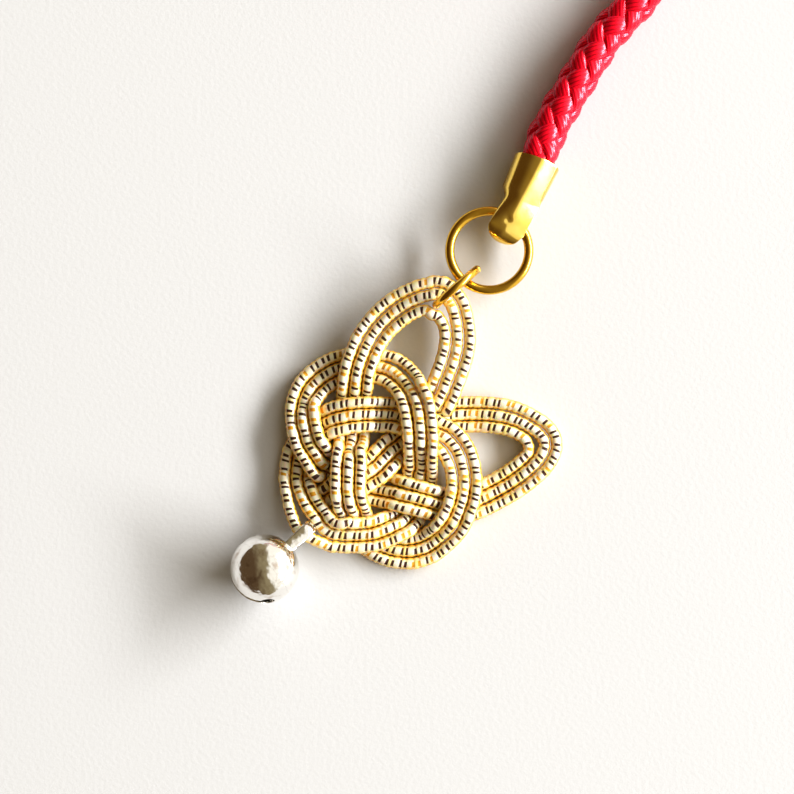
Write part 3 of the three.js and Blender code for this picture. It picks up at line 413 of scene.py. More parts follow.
# Knot: three strands tied side by side. Each stop of a route is a pixel of the photograph and how many
# strands lie underneath.
knot = {"diameter": 0.94, "gap": 0.06, "layerGap": 0.06, "facetRoom": 0.07, "settleStep": 0.45,
        "rounds": 320, "clearing": 80, "crossing": 0.35, "nearby": 1.6, "sameStrand": 3,
        "stiffness": 0.4, "homePull": 0.02, "step": 0.06, "sides": 20}
routes = {
    "outer": [
        (304, 504, 0), (311, 497, 0), (321, 489, 0.1), (333, 481, 0.9), (346, 472, 1), (360, 463, 1),
        (376, 451, 0.9), (388, 441, 0.5), (400, 430, 0.1), (414, 419.5, 0), (430, 411, 0), (446, 405.5, 0),
        (466, 403, 0), (486, 403.5, 0.2), (507, 406, 0.4), (521, 410.5, 0.4), (535.5, 417.5, 0.4),
        (547.5, 426, 0.4), (555.5, 438.5, 0.4), (556, 449.5, 0.4), (552, 460, 0.4), (543.5, 471, 0.4),
        (532, 482, 0.3), (520, 491.5, 0.2), (508, 499, 0.1), (495.5, 506, 0), (485, 511, 0),
        (474, 515.5, 0), (461, 518.5, 0), (448, 518.5, 0), (436, 516.5, 0.3), (424, 513, 0.95),
        (410, 509, 1.1), (396, 505, 1), (384, 502.5, 0.4), (370, 500, 0), (356, 496.5, 0), (342, 491.5, 0),
        (329, 485, 0.2), (321, 480, 0.7), (313, 473, 1.1), (306, 462, 1.2), (298, 446, 1.1),
        (293.5, 432, 0.7), (291.5, 418.5, 0.5), (292, 403.5, 0.4), (296, 390.5, 0.3), (304, 379, 0.2),
        (314.5, 370, 0.1), (327.5, 361.5, 0), (339.5, 356.5, 0), (352.5, 353.5, 0), (367, 353, 0),
        (381, 354.5, 0.3), (394.5, 357.5, 0.5), (406.5, 364.5, 0.7), (416, 374.5, 1), (422.5, 385.5, 1.7),
        (427.5, 398.5, 2.1), (430, 412, 2.2), (431.5, 428, 2.2), (432, 442, 2.1), (432, 456, 1.8),
        (431.5, 470, 0.8), (430, 484, 0), (428, 497, 0), (424, 511, 0), (415.5, 526.5, 0.3),
        (402, 535, 0.8), (384, 542, 1.1), (370, 545.5, 1.2), (355, 547, 1.2), (340, 546.5, 1.2),
        (326, 544, 1.3), (311.3, 538.2, 1.5), (298.6, 529.6, 1.5), (291.6, 515, 1.2), (287.5, 499.5, 0.8),
        (285.5, 482, 0.3), (286.5, 465.5, 0), (290.5, 450.5, 0), (296, 437.5, 0), (304, 425.5, 0),
        (314, 416.5, 0.15), (326, 410.5, 0.7), (342, 405.5, 1.1), (358, 403, 1.1), (370, 402.5, 1),
        (384, 403, 0.7), (397, 404.5, 0.7), (409, 407, 0.9), (421, 411.5, 1.1), (434, 418, 1.1),
        (446, 424.5, 1.2), (457.5, 433, 1.2), (467, 444, 1.2), (473, 458, 1.1), (476, 474, 1.1),
        (475.5, 490, 1.1), (471, 511, 1), (462, 531, 0.6), (446, 548, 0.2), (428, 559, 0), (409, 563, 0),
        (391, 560.5, 0), (376, 556, 0), (361, 547.5, 0), (349.5, 535.5, 0.1), (341.5, 520, 0.6),
        (338, 506, 1.3), (336.5, 492, 1.9), (336.5, 478, 2), (337.5, 464, 1.8), (338.5, 450, 1.5),
        (340, 437, 0.35), (341.5, 424, 0), (342.5, 410, 0), (343, 397, 0.3), (344, 385, 1), (346, 371, 1.4),
        (350.5, 356.5, 1.4), (355.5, 343.5, 1.4), (362, 330, 1.3), (371, 317.5, 1.3), (382, 307, 1.4),
        (394.5, 298, 1.5), (408.5, 290.5, 1.6), (422, 285.5, 1.7), (436, 283, 1.8), (447, 284.5, 1.8),
        (455, 291, 1.7), (462, 301, 1.6), (466.5, 313, 1.5), (469, 327, 1.4), (469, 341, 1.4),
        (466.5, 355, 1.4), (463, 367, 1.4), (458.5, 380, 1.4), (454, 391, 1.4), (449.5, 403, 1.3),
        (446, 411, 1.2), (443.5, 417, 1.1)],
    "middle": [
        (311, 513, 0), (318, 507, 0), (328, 500, 0.4), (340, 491.5, 0.9), (353, 483, 1), (367, 473.5, 1),
        (383.5, 460, 0.8), (395, 449.5, 0.4), (408, 437.5, 0), (421, 428, 0), (437, 419.7, 0),
        (453, 415.2, 0), (469, 414.5, 0), (486, 414.5, 0.2), (502, 416.3, 0.4), (516.5, 420.2, 0.4),
        (529, 426, 0.4), (539.5, 433, 0.4), (545, 442, 0.4), (543.5, 452, 0.4), (537, 461, 0.4),
        (527, 469.5, 0.3), (517, 477, 0.2), (508.5, 483, 0.1), (499, 488.5, 0), (489, 494, 0),
        (478, 499.5, 0), (466, 504.5, 0), (454, 507, 0), (443, 505.5, 0.5), (431, 502, 1),
        (417, 498.5, 1.1), (402, 495.5, 0.9), (388, 492, 0.4), (373, 488.5, 0), (359, 484.5, 0),
        (345, 479.5, 0), (333.5, 473.5, 0.2), (326, 467, 0.7), (319, 459.5, 1.1), (311.5, 447.5, 1.2),
        (305, 435.5, 1.1), (302.5, 422.5, 0.8), (302.5, 409, 0.4), (305.5, 397, 0.3), (312, 386, 0.2),
        (321, 377.3, 0.1), (333, 370.5, 0), (346.5, 366, 0), (361, 364.5, 0), (379, 366.5, 0.3),
        (390.5, 370.5, 0.5), (401, 378.7, 0.8), (409.5, 388.7, 1.3), (415.3, 399, 1.9), (418.7, 412, 2.1),
        (420.2, 428, 2.1), (420.7, 442, 1.9), (420.7, 456, 1.2), (420, 470, 0.4), (418.5, 483, 0),
        (416.5, 496, 0), (411.5, 509.5, 0.1), (402, 521.5, 0.5), (387, 528.5, 1), (373, 533, 1.2),
        (358, 535, 1.2), (343, 533.5, 1.2), (329, 528, 1.2), (315.5, 518.5, 1.2), (305, 504, 1),
        (298.8, 488, 0.6), (296.5, 471, 0.1), (298.3, 456.5, 0), (303.3, 443.5, 0), (311.3, 432.8, 0),
        (319, 426.5, 0.3), (328, 421.5, 0.8), (342, 416.5, 1.1), (358, 414.4, 1.1), (370, 414.1, 0.9),
        (384, 414.8, 0.6), (397, 416.3, 0.6), (409, 419, 0.9), (422, 424, 1.1), (436, 430.5, 1.1),
        (447.5, 438.5, 1.1), (456, 449, 1.1), (461.5, 463, 1.1), (464, 478, 1.1), (463.5, 493, 1.1),
        (459.5, 508, 1), (452, 524, 0.6), (438.5, 538.5, 0.2), (425, 547.5, 0), (411, 551.5, 0),
        (395, 550.5, 0), (380, 545, 0), (366, 535, 0.1), (356, 520, 0.6), (350.5, 506, 1.3),
        (348, 492, 1.9), (347.8, 478, 2), (348.5, 464, 1.7), (350, 450, 1), (351.5, 437, 0.3),
        (353, 424, 0), (353.8, 411, 0), (354, 399, 0.3), (355, 387, 1), (357, 371.8, 1.4),
        (362.3, 355.8, 1.4), (369.8, 339.8, 1.3), (380.8, 324.3, 1.3), (390.3, 315, 1.4),
        (400.5, 307.3, 1.5), (411, 301, 1.6), (422.5, 296, 1.7), (434, 294.2, 1.8), (443.5, 297, 1.8),
        (450, 303, 1.7), (453.8, 312, 1.6), (456, 323, 1.5), (457.3, 334, 1.4), (457, 345, 1.4),
        (454.8, 357, 1.4), (450.8, 369, 1.4), (446.3, 380.5, 1.4), (441.5, 393, 1.5), (437, 403, 1.4),
        (433.5, 411, 1.2)],
    "inner": [
        (320, 521, 0), (326, 516, 0), (334, 510, 0.4), (346, 501.5, 0.9), (359, 493, 1), (374, 482.5, 1),
        (388, 470.5, 0.8), (399, 459.5, 0.4), (411, 449, 0), (424, 439, 0), (439, 431, 0), (455, 426.5, 0),
        (471, 425.5, 0), (485, 425.7, 0.2), (496, 427, 0.4), (507.5, 429.5, 0.4), (517.5, 433.5, 0.4),
        (525, 439.5, 0.4), (528.5, 446.5, 0.4), (528, 454.5, 0.4), (523, 461, 0.4), (515.5, 467, 0.3),
        (506.5, 472.5, 0.2), (497, 478, 0.1), (488, 482.5, 0), (478, 487.5, 0), (468, 492, 0),
        (457, 494.5, 0), (446, 493.5, 0.4), (435, 490.5, 1), (421, 486.5, 1.1), (406, 482, 0.9),
        (392, 477.5, 0.4), (379, 474, 0), (365, 470, 0), (351, 465.5, 0), (341.5, 460.3, 0.1),
        (335, 456, 0.3), (329.5, 451, 0.8), (323.5, 443, 1.2), (318, 433, 1.1), (315, 420.8, 1.1),
        (314.7, 408.3, 0.8), (317.8, 397.3, 0.4), (324.3, 389, 0.2), (334.5, 382, 0), (346.8, 377.8, 0),
        (360, 376.5, 0), (374.3, 378, 0.2), (385, 381.3, 0.5), (393.8, 388.7, 0.9), (400.7, 399, 1.6),
        (404.7, 412, 2), (407.3, 428.2, 2.1), (409, 442, 1.9), (409.3, 456, 1.2), (409, 469, 0.4),
        (407.8, 481, 0), (405, 493, 0), (402, 503, 0), (394, 513.5, 0.2), (382, 519.5, 1),
        (370, 522.5, 1.2), (358, 523.5, 1.2), (346, 522, 1.2), (333, 517, 1.2), (323, 508.5, 1.2),
        (315.3, 496.5, 0.9), (310, 482, 0.5), (308.3, 468, 0), (311.3, 455.5, 0), (317.5, 446, 0.1),
        (327, 436.5, 0.85), (342, 429.3, 1.1), (358, 426.5, 1.1), (370, 426.3, 0.8), (384, 427, 0.5),
        (396, 428.5, 0.6), (407, 431.5, 0.9), (418, 436, 1.1), (430, 442, 1.1), (440, 450, 1.1),
        (447, 461, 1.1), (451.5, 474, 1.1), (452, 487, 1.1), (449, 501, 1.15), (442.5, 516, 1.2),
        (431, 529.5, 0.6), (419, 537, 0), (406, 540, 0), (392, 537.5, 0), (381, 531.5, 0), (372, 521, 0.2),
        (365, 510, 0.9), (361.5, 499, 1.5), (360, 487, 1.9), (360.3, 475, 2), (361.3, 463, 1.7),
        (362.5, 450, 1), (364, 437, 0.3), (365, 424, 0), (365.5, 411, 0), (365.8, 399, 0.3),
        (366.5, 387, 1), (368.8, 372, 1.4), (372.5, 361.3, 1.4), (376.5, 350.8, 1.3), (382, 341.3, 1.3),
        (391, 330.7, 1.4), (400.5, 321.8, 1.5), (410, 314.6, 1.6), (419, 311.5, 1.7), (428, 310.3, 1.8),
        (435.3, 314.3, 1.7), (441.3, 321.5, 1.6), (445, 331, 1.5), (446, 344, 1.4), (444.5, 355, 1.4),
        (441, 367, 1.4), (436, 379, 1.5), (431, 390, 1.4), (427, 399, 1.2)]}
pitch = knot["diameter"] + knot["gap"]
rise = knot["diameter"] + knot["layerGap"]
strandRadius = knot["diameter"] / 2
clearReach = pitch + knot["facetRoom"]


def settleStrands(homes, wirePoints, wireReach):
    # Where two strands cross, their heights part until sqrt(reach^2 - plan^2) lies between them; side
    # by side they part in plan. Each point takes the mean of its pushes, then the ring's wire pushes
    # it clear, and heights relax towards those of a springy rod: (4 (z-1 + z+1) - z-2 - z+2) / 6.
    lengths = [len(home) for home in homes]
    strandOf = np.repeat(np.arange(len(homes)), lengths)
    placeIn = np.concatenate([np.arange(n) for n in lengths])
    home = np.vstack(homes)
    now = home.copy()
    planGap = np.linalg.norm(home[:, None, :2] - home[None, :, :2], axis=-1)
    skip = int(np.ceil(knot["sameStrand"] * pitch / knot["settleStep"]))
    far = (strandOf[:, None] != strandOf[None, :]) | (np.abs(placeIn[:, None] - placeIn[None, :]) >= skip)
    p, q = np.nonzero(np.triu(far & (planGap < knot["nearby"] * pitch), 1))
    homeRise = home[p, 2] - home[q, 2]
    way = np.where(np.abs(homeRise) >= knot["crossing"] * rise, np.sign(homeRise), 0)
    wall = np.linalg.norm(home[:, None] - wirePoints[None], axis=-1) < wireReach + pitch
    nearWire = [(wirePoints[n], np.nonzero(wall[:, n])[0]) for n in np.nonzero(wall.any(0))[0]]
    edges = np.cumsum([0] + lengths)
    for step in range(knot["rounds"] + knot["clearing"]):
        gap = now[p] - now[q]
        plan = np.linalg.norm(gap[:, :2], axis=1)
        missingSide = clearReach - np.linalg.norm(gap, axis=1)
        missingRise = np.sqrt(np.clip(clearReach ** 2 - plan ** 2, 0, None)) - way * gap[:, 2]
        beside = (way == 0) & (missingSide > 0)
        over = (way != 0) & (plan < clearReach) & (missingRise > 0)
        push = np.zeros_like(gap)
        push[:, :2] = gap[:, :2] / plan[:, None] * (beside * missingSide / 2)[:, None]
        push[:, 2] = over * way * missingRise / 2
        hit = beside | over
        ends = np.concatenate([p[hit], q[hit]])
        amounts = np.concatenate([push[hit], -push[hit]])
        count = np.maximum(np.bincount(ends, minlength=len(now)), 1)
        now += together(*[np.bincount(ends, amounts[:, n], len(now)) for n in range(3)]) / count[:, None]
        for centre, points in nearWire:
            away = now[points] - centre
            distance = np.linalg.norm(away, axis=1, keepdims=True)
            now[points] += away / distance * np.clip(wireReach - distance, 0, None)
        if step < knot["rounds"]:
            for start, end in zip(edges[:-1], edges[1:]):
                z = now[start:end, 2].copy()
                rod = (4 * (z[1:-3] + z[3:-1]) - z[:-4] - z[4:]) / 6
                pull = knot["homePull"] * (home[start + 2:end - 2, 2] - z[2:-2])
                now[start + 2:end - 2, 2] += knot["stiffness"] * (rod - z[2:-2]) + pull
        now[:, 2] = np.maximum(now[:, 2], strandRadius)
    return [now[start:end] for start, end in zip(edges[:-1], edges[1:])]


homes = []
for route in routes.values():
    stops = np.array(route)
    stopPlaces = lift(placeOf(stops[:, :2]), strandRadius + stops[:, 2] * rise)
    homes.append(smoothPath(stopPlaces, knot["settleStep"])[0])
wireAngle = roundTurn(rings["steps"])
wirePoints = lift(smallRingPlan + np.cos(wireAngle)[:, None] * smallRadius * heading(rings["smallAngle"]),
                  rings["smallOuter"] / 2 + smallRadius * np.sin(wireAngle))
wireReach = rings["smallWire"] / 2 + strandRadius + knot["gap"] + knot["facetRoom"]
settled = settleStrands(homes, wirePoints, wireReach)

bands = {"wide": 0.7, "narrow": 0.45, "uneven": 0.14, "spare": 8, "slant": 0.07, "groove": 0.026,
         "grooveWidth": 0.1, "swell": 0.012, "film": 0.04, "seed": 7}
chance = np.random.default_rng(bands["seed"])


def wrappedStrand(name, settledPoints):
    # A cord wound with film. Its bands are wide and narrow in turn, with a thread sunk between them:
    # the radius drops by groove * exp(-(away / grooveWidth)^2) at each thread, and swells between
    # threads. Marks: cos and sin of the angle from its top and which band it is; then the way off to
    # the nearest thread, and a chance number for that thread and for the band.
    path, distance = smoothPath(settledPoints, knot["step"])
    b = roundTurn(knot["sides"])
    count = 2 * int(distance[-1] / (bands["wide"] + bands["narrow"]) + bands["spare"])
    widths = np.where(np.arange(count) % 2, bands["narrow"], bands["wide"]) \
        * (1 + bands["uneven"] * chance.uniform(-1, 1, count))
    threads = np.cumsum(widths) - 2 * bands["wide"]
    threadChance, bandChance = chance.random((2, count))
    place = distance[:, None] + bands["slant"] * np.sin(b)[None, :]
    after = np.clip(np.searchsorted(threads, place), 1, count - 1)
    toBefore, toAfter = place - threads[after - 1], threads[after] - place
    away = np.minimum(toBefore, toAfter)
    nearest = np.where(toBefore < toAfter, after - 1, after)
    sink = bands["groove"] * np.exp(-(away / bands["grooveWidth"]) ** 2)
    radius = strandRadius + bands["film"] + bands["swell"] * (2 * away / bands["wide"]).clip(0, 1) - sink
    side, top = pathFrames(path)
    grid = path[:, None, :] + top[:, None, :] * (radius * np.cos(b))[..., None] \
        + side[:, None, :] * (radius * np.sin(b))[..., None]
    points, wrapMarks, threadMarks = closedTube(path, grid, together(np.cos(b), np.sin(b), after % 2),
                                                together(away, threadChance[nearest], bandChance[after]))
    print("scene: strand", name, round(distance[-1], 1), "mm,", len(path), "rings")
    return makePiece(f"wrapped_strand_{name}", points, tubeFaces(*grid.shape[:2]), "knot", "wrapped_cord",
                     (f"knot_strand_{name}",), {"wrap": wrapMarks, "thread": threadMarks})


strandPieces = [wrappedStrand(name, points) for name, points in zip(routes, settled)]

# Bell: two half shells pressed together, with an ear of bent strip and a loose pellet
bell = {"diameter": 5.9, "wall": 0.22, "seam": 0.008, "round": 0.04, "roundSteps": 2, "sharpFrom": 0.9,
        "smoothUnder": 38, "slotWidth": 0.5, "slotSteps": 40, "slotEndDiameter": 1.2, "slotEndSides": 40,
        "slotEndAngle": 52, "slotRoll": 77, "planAngle": 42.1, "strandReach": 4.58, "facets": 96, "arcs": 24}
ear = {"width": 1.0, "thickness": 0.25, "crown": 0.2, "crownFrom": 0.6, "flare": 0.2, "holeWidth": 1.6,
       "holeReach": 5.3, "bendSteps": 17, "footSpread": 0.55, "clearance": 0.12, "sides": 32,
       "squareness": 0.35, "smoothUnder": 50, "passPixel": (303.8, 533.1), "passLayer": 1.5}
pellet = {"diameter": 1.6, "clearance": 0.1, "facets": 32, "arcs": 16}
bellRadius = bell["diameter"] / 2
innerRadius = bellRadius - bell["wall"]
passHeight = strandRadius + ear["passLayer"] * rise
lean = np.arcsin((bellRadius - passHeight) / bell["strandReach"])
bellHeading = heading(bell["planAngle"])
bellPlan = placeOf(ear["passPixel"]) - bellHeading * bell["strandReach"] * np.cos(lean)
bellAxis = unit(lift(bellHeading, -np.tan(lean)))
bellAcross = np.array([bellHeading[1], -bellHeading[0], 0])
bellAxes = np.stack([np.cross(bellAcross, bellAxis), bellAcross, bellAxis])
bellFrame = (bellAxes, lift(bellPlan, bellRadius))
legPlace = ear["holeWidth"] / 2 + ear["thickness"] / 2


def ballGrid(radius, latitudes, facets, flip):
    # ball R (cos t cos a, cos t sin a, sin t), turned over about its x where flip is -1
    t, a = latitudes[:, None], roundTurn(facets)[None, :]
    return radius * together(np.cos(t) * np.cos(a), flip * np.cos(t) * np.sin(a), flip * np.sin(t))


def prism(name, outline, low, high, axes):
    # a straight-sided cutter: the outline in the first two of its axes, from low to high on the third
    outline = np.asarray(outline, float)
    n = len(outline)
    points = np.vstack([lift(outline, low), lift(outline, high)]) @ axes
    k = np.arange(n)
    kNext = (k + 1) % n
    sides = together(k, kNext, kNext + n, k + n).tolist()
    return makePiece(name, points, sides + [k[::-1].tolist(), (k + n).tolist()], None, None, turned=bellFrame)


def slotCutters():
    # The sound slot: a fan of thin sheet through the far pole, and a round hole at each of its ends. All
    # are rolled about the bell's axis.
    endAngle, halfWidth = bell["slotEndAngle"], bell["slotWidth"] / 2
    roll = np.radians(bell["slotRoll"])
    rolled = np.array([[np.cos(roll), np.sin(roll), 0], [-np.sin(roll), np.cos(roll), 0], [0, 0, 1]])
    angles = np.linspace(-endAngle, endAngle, bell["slotSteps"] + 1) - 90
    outline = np.vstack([[[0, 0]], heading(angles) * bell["diameter"]])
    flatAxes = np.array([(1, 0, 0), (0, 0, 1), (0, -1, 0)])
    cutters = [prism("sound_slot", outline, -halfWidth, halfWidth, flatAxes @ rolled)]
    circle = heading(np.arange(bell["slotEndSides"]) * 360 / bell["slotEndSides"])
    for n, tilt in enumerate(np.radians((-endAngle, endAngle))):
        x, z = np.array([(np.cos(tilt), 0, np.sin(tilt)), (np.sin(tilt), 0, -np.cos(tilt))])
        axes = np.stack([x, np.cross(z, x), z]) @ rolled
        cutters.append(prism(f"hole_{n}", circle * bell["slotEndDiameter"] / 2, 0, 2 * bellRadius, axes))
    return cutters


def earCutters():
    slotHalf = np.array([legPlace + ear["thickness"] / 2, ear["width"] / 2]) + ear["clearance"] / 2
    corners = slotHalf * [(-1, -1), (1, -1), (1, 1), (-1, 1)]
    return [prism("ear_slot", corners, bellRadius / 2, 2 * bellRadius, np.eye(3))]


def halfShell(name, flip, node, cutters):
    # half a ball from the seam to the pole, given its wall inwards, then cut
    latitudes = np.linspace(np.arcsin(bell["seam"] / 2 / bellRadius), np.pi / 2, bell["arcs"] + 1)
    grid = ballGrid(bellRadius, latitudes[:-1], bell["facets"], flip)
    rows, columns = grid.shape[:2]
    points = np.vstack([grid.reshape(-1, 3), [[0, 0, flip * bellRadius]]])
    last = (rows - 1) * columns + np.arange(columns)
    faces = gridFaces(rows, columns).tolist() + fan(last, np.roll(last, -1), rows * columns)
    piece = makePiece(name, points, faces, "bell", "silver_plate", (node,), turned=bellFrame)
    addModifiers(piece, ("SOLIDIFY", {"thickness": bell["wall"] * mm, "offset": -1}), *[
        ("BOOLEAN", {"object": cutter, "operation": "DIFFERENCE", "solver": "EXACT"}) for cutter in cutters])
    finished = bpy.data.meshes.new_from_object(piece.evaluated_get(bpy.context.evaluated_depsgraph_get()))
    piece.modifiers.clear()
    piece.data = finished
    # only the cut edges away from the seam are rounded
    work = bmesh.new()
    work.from_mesh(finished)
    work.verts.index_update()
    places = np.array([vertex.co for vertex in work.verts]) / mm - heartPlace - bellFrame[1]
    offSeam = np.abs(places @ bellAxis) > bell["wall"] / 2
    cut = [edge for edge in work.edges if len(edge.link_faces) == 2 and
           edge.calc_face_angle() > bell["sharpFrom"] and all(offSeam[vertex.index] for vertex in edge.verts)]
    bmesh.ops.bevel(work, geom=cut, offset=bell["round"] * mm, offset_type="OFFSET",
                    segments=bell["roundSteps"], affect="EDGES", profile=0.5)
    work.to_mesh(finished)
    work.free()
    finished.set_sharp_from_angle(angle=np.radians(bell["smoothUnder"]))
    for cutter in cutters:
        bpy.data.objects.remove(cutter)
    return piece


def earStrip():
    # Foot, leg, round top, leg and foot in the strip's own plane. Its section is a rounded rectangle,
    # (cos b)^squareness by (sin b)^squareness, and its outer face is crowned as crown (1 - across^2)
    # above the shell.
    footRadius = innerRadius - ear["clearance"] - ear["thickness"] / 2
    toe = legPlace + ear["footSpread"]
    topCentre = ear["holeReach"] - ear["holeWidth"] / 2
    bend = np.radians(np.linspace(0, 90, ear["bendSteps"]))
    foot = [[reach, np.sqrt(footRadius ** 2 - reach ** 2)] for reach in (toe, legPlace)]
    half = np.vstack([foot, together(legPlace * np.cos(bend), topCentre + legPlace * np.sin(bend))])
    strip = np.vstack([half, half[-2::-1] * (-1, 1)])
    stripAlong = unit(np.gradient(strip, axis=0))
    stripOut = together(stripAlong[:, 1], -stripAlong[:, 0])
    b = roundTurn(ear["sides"])
    outShape, acrossShape = [np.sign(v) * np.abs(v) ** ear["squareness"] for v in (np.cos(b), np.sin(b))]
    crownShare = np.clip((strip[:, 1] - bellRadius) / ear["crownFrom"], 0, 1)[:, None]
    crown = crownShare * ear["crown"] * (1 - acrossShape ** 2) * (outShape > 0)
    place = strip[:, None, :] + stripOut[:, None, :] * (ear["thickness"] / 2 * outShape + crown)[..., None]
    acrossPlace = ear["width"] / 2 * acrossShape * (1 + ear["flare"] * crownShare)
    grid = together(place[..., 0], acrossPlace, place[..., 1])
    ends = together(strip[[0, -1], 0], 0, strip[[0, -1], 1])
    piece = makePiece("ear_strip", np.vstack([grid.reshape(-1, 3), ends]), tubeFaces(*grid.shape[:2]), "bell",
                      "silver_plate", ("bell_ear",), turned=bellFrame)
    piece.data.set_sharp_from_angle(angle=np.radians(ear["smoothUnder"]))
    return piece


def pelletBall():
    # lowest in the bell as it lies
    radius = pellet["diameter"] / 2
    latitudes = np.linspace(-np.pi / 2, np.pi / 2, pellet["arcs"] + 1)[1:-1]
    ball = ballGrid(radius, latitudes, pellet["facets"], -1)
    points = np.vstack([ball.reshape(-1, 3), [[0, 0, radius], [0, 0, -radius]]])
    place = np.array([-(innerRadius - radius - pellet["clearance"]), 0, 0])
    return makePiece("pellet_ball", points + place, tubeFaces(*ball.shape[:2]), "pellet", "steel",
                     ("bell_pellet",), turned=bellFrame)


bellPieces = [halfShell("upper_shell", 1, "bell_upper_shell", earCutters()),
              halfShell("lower_shell", -1, "bell_lower_shell", slotCutters()), earStrip(), pelletBall()]
print("scene: bell with ear and pellet")


class Wire:
    # one output of a shader node; sums on it add Math nodes
    def __init__(self, finish, socket):
        self.finish, self.socket = finish, socket

    def maths(self, operation, other=0.0, swapped=False):
        first, second = (other, self) if swapped else (self, other)
        return self.finish.node("ShaderNodeMath", {"operation": operation}, {0: first, 1: second})

    def __add__(self, other):
        return self.maths("ADD", other)

    def __sub__(self, other):
        return self.maths("SUBTRACT", other)

    def __rsub__(self, other):
        return self.maths("SUBTRACT", other, swapped=True)

    def __mul__(self, other):
        return self.maths("MULTIPLY", other)

    __radd__, __rmul__ = __add__, __mul__


class Finish:
    # a material's or a world's nodes, all from the one method below
    def __init__(self, owner):
        self.owner = owner
        owner.use_nodes = True
        self.tree = owner.node_tree
        self.tree.nodes.clear()

    def node(self, kind, settings=None, sockets=None, out=0):
        made = self.tree.nodes.new(kind)
        for key, value in (settings or {}).items():
            setattr(made, key, value)
        for key, value in (sockets or {}).items():
            if isinstance(value, Wire):
                self.tree.links.new(value.socket, made.inputs[key])
            else:
                made.inputs[key].default_value = value
        return Wire(self, made.outputs[out] if made.outputs else None)

    def stepUp(self, value, low, high):
        # 0 below low, 1 above high, smooth between
        return self.node("ShaderNodeMapRange", {"interpolation_type": "SMOOTHSTEP"},
                         {"Value": value, "From Min": low, "From Max": high})

    def blend(self, share, first, second):
        return self.node("ShaderNodeMix", {"data_type": "RGBA"}, {0: share, 6: first, 7: second}, out=2)

    def noise(self, scale, detail=2.0):
        return self.node("ShaderNodeTexNoise", {},
                         {"Vector": self.objectPlace(), "Scale": scale, "Detail": detail})

    def bump(self, height, depth, strength):
        # depth in mm
        return self.node("ShaderNodeBump", {},
                         {"Height": height, "Distance": depth * mm, "Strength": strength})

    def objectPlace(self):
        return self.node("ShaderNodeTexCoord", out="Object")

    def split(self, vector):
        return [self.node("ShaderNodeSeparateXYZ", {}, {0: vector}, out=n) for n in range(3)]

    def marks(self, name):
        return self.split(self.node("ShaderNodeAttribute", {"attribute_name": name}, out="Vector"))

    def close(self, kind="ShaderNodeBsdfPrincipled", output="ShaderNodeOutputMaterial", **sockets):
        # the surface or background, its sockets named with _ for a space, and the output that it feeds
        surface = self.node(kind, {}, {key.replace("_", " "): value for key, value in sockets.items()})
        self.node(output, {}, {"Surface": surface})
        return self.owner


def newFinish(name):
    return Finish(bpy.data.materials.new(name))


def colour(red, green, blue):
    # A colour given as it is seen, from 0 to 255, as light: ((c + 0.055) / 1.055)^2.4 of its share c,
    # or c / 12.92 near black
    seen = np.array([red, green, blue]) / 255
    return (*np.where(seen <= 0.04045, seen / 12.92, ((seen + 0.055) / 1.055) ** 2.4).tolist(), 1.0)


# Wrapped cord: film bands in pairs, a wide one and a narrow one, white above and below the strand and gold
# foil on its sides, with a short dark edge of thread between them over the top and down the flanks. The gold
# foil is the cord's own, but the white crown warming to peach and gold down the sides is painted sheen and
# shade by how the strand faces up, the deeper gold next to each thread is painted shade in its groove, and
# the ticks stopping short of the flanks leave white film there as a painted highlight. Ranges are of the cos
# or sin of the angle from the top, of the way off to a thread in mm, or of a chance number.
wrapped = {"white": colour(255, 248, 228), "shade": colour(253, 239, 214), "cream": colour(255, 231, 160),
           "peach": colour(255, 222, 130), "foilAndSideShade": colour(255, 216, 84), "deepFoil": colour(228, 168, 44),
           "thread": colour(66, 30, 10), "goldThread": colour(222, 162, 34),
           "threadHalf": 0.145, "threadLeast": 0.8, "threadMore": 0.3, "threadEdge": (0.7, 1.15),
           "taper": 0.05, "taperBase": 0.88, "reach": (-0.64, 0.46), "reachUneven": 0.4, "reachSoft": 0.1,
           "flank": (0.1, 0.3), "goldChance": (0.78, 0.82), "shadeChance": (0.55, 0.95),
           "creamChance": (0.3, 0.9), "drift": 0.2, "foilRange": (0.46, 0.8), "warm": (0.7, 0.98),
           "warmShare": 0.5, "deepWithin": (0.04, 0.24), "deepUneven": 0.1, "grain": 7000.0,
           "grainBump": (0.012, 0.5), "foilMetal": 0.15, "rough": 0.34, "threadRough": 0.3,
           "threadDull": 0.9}


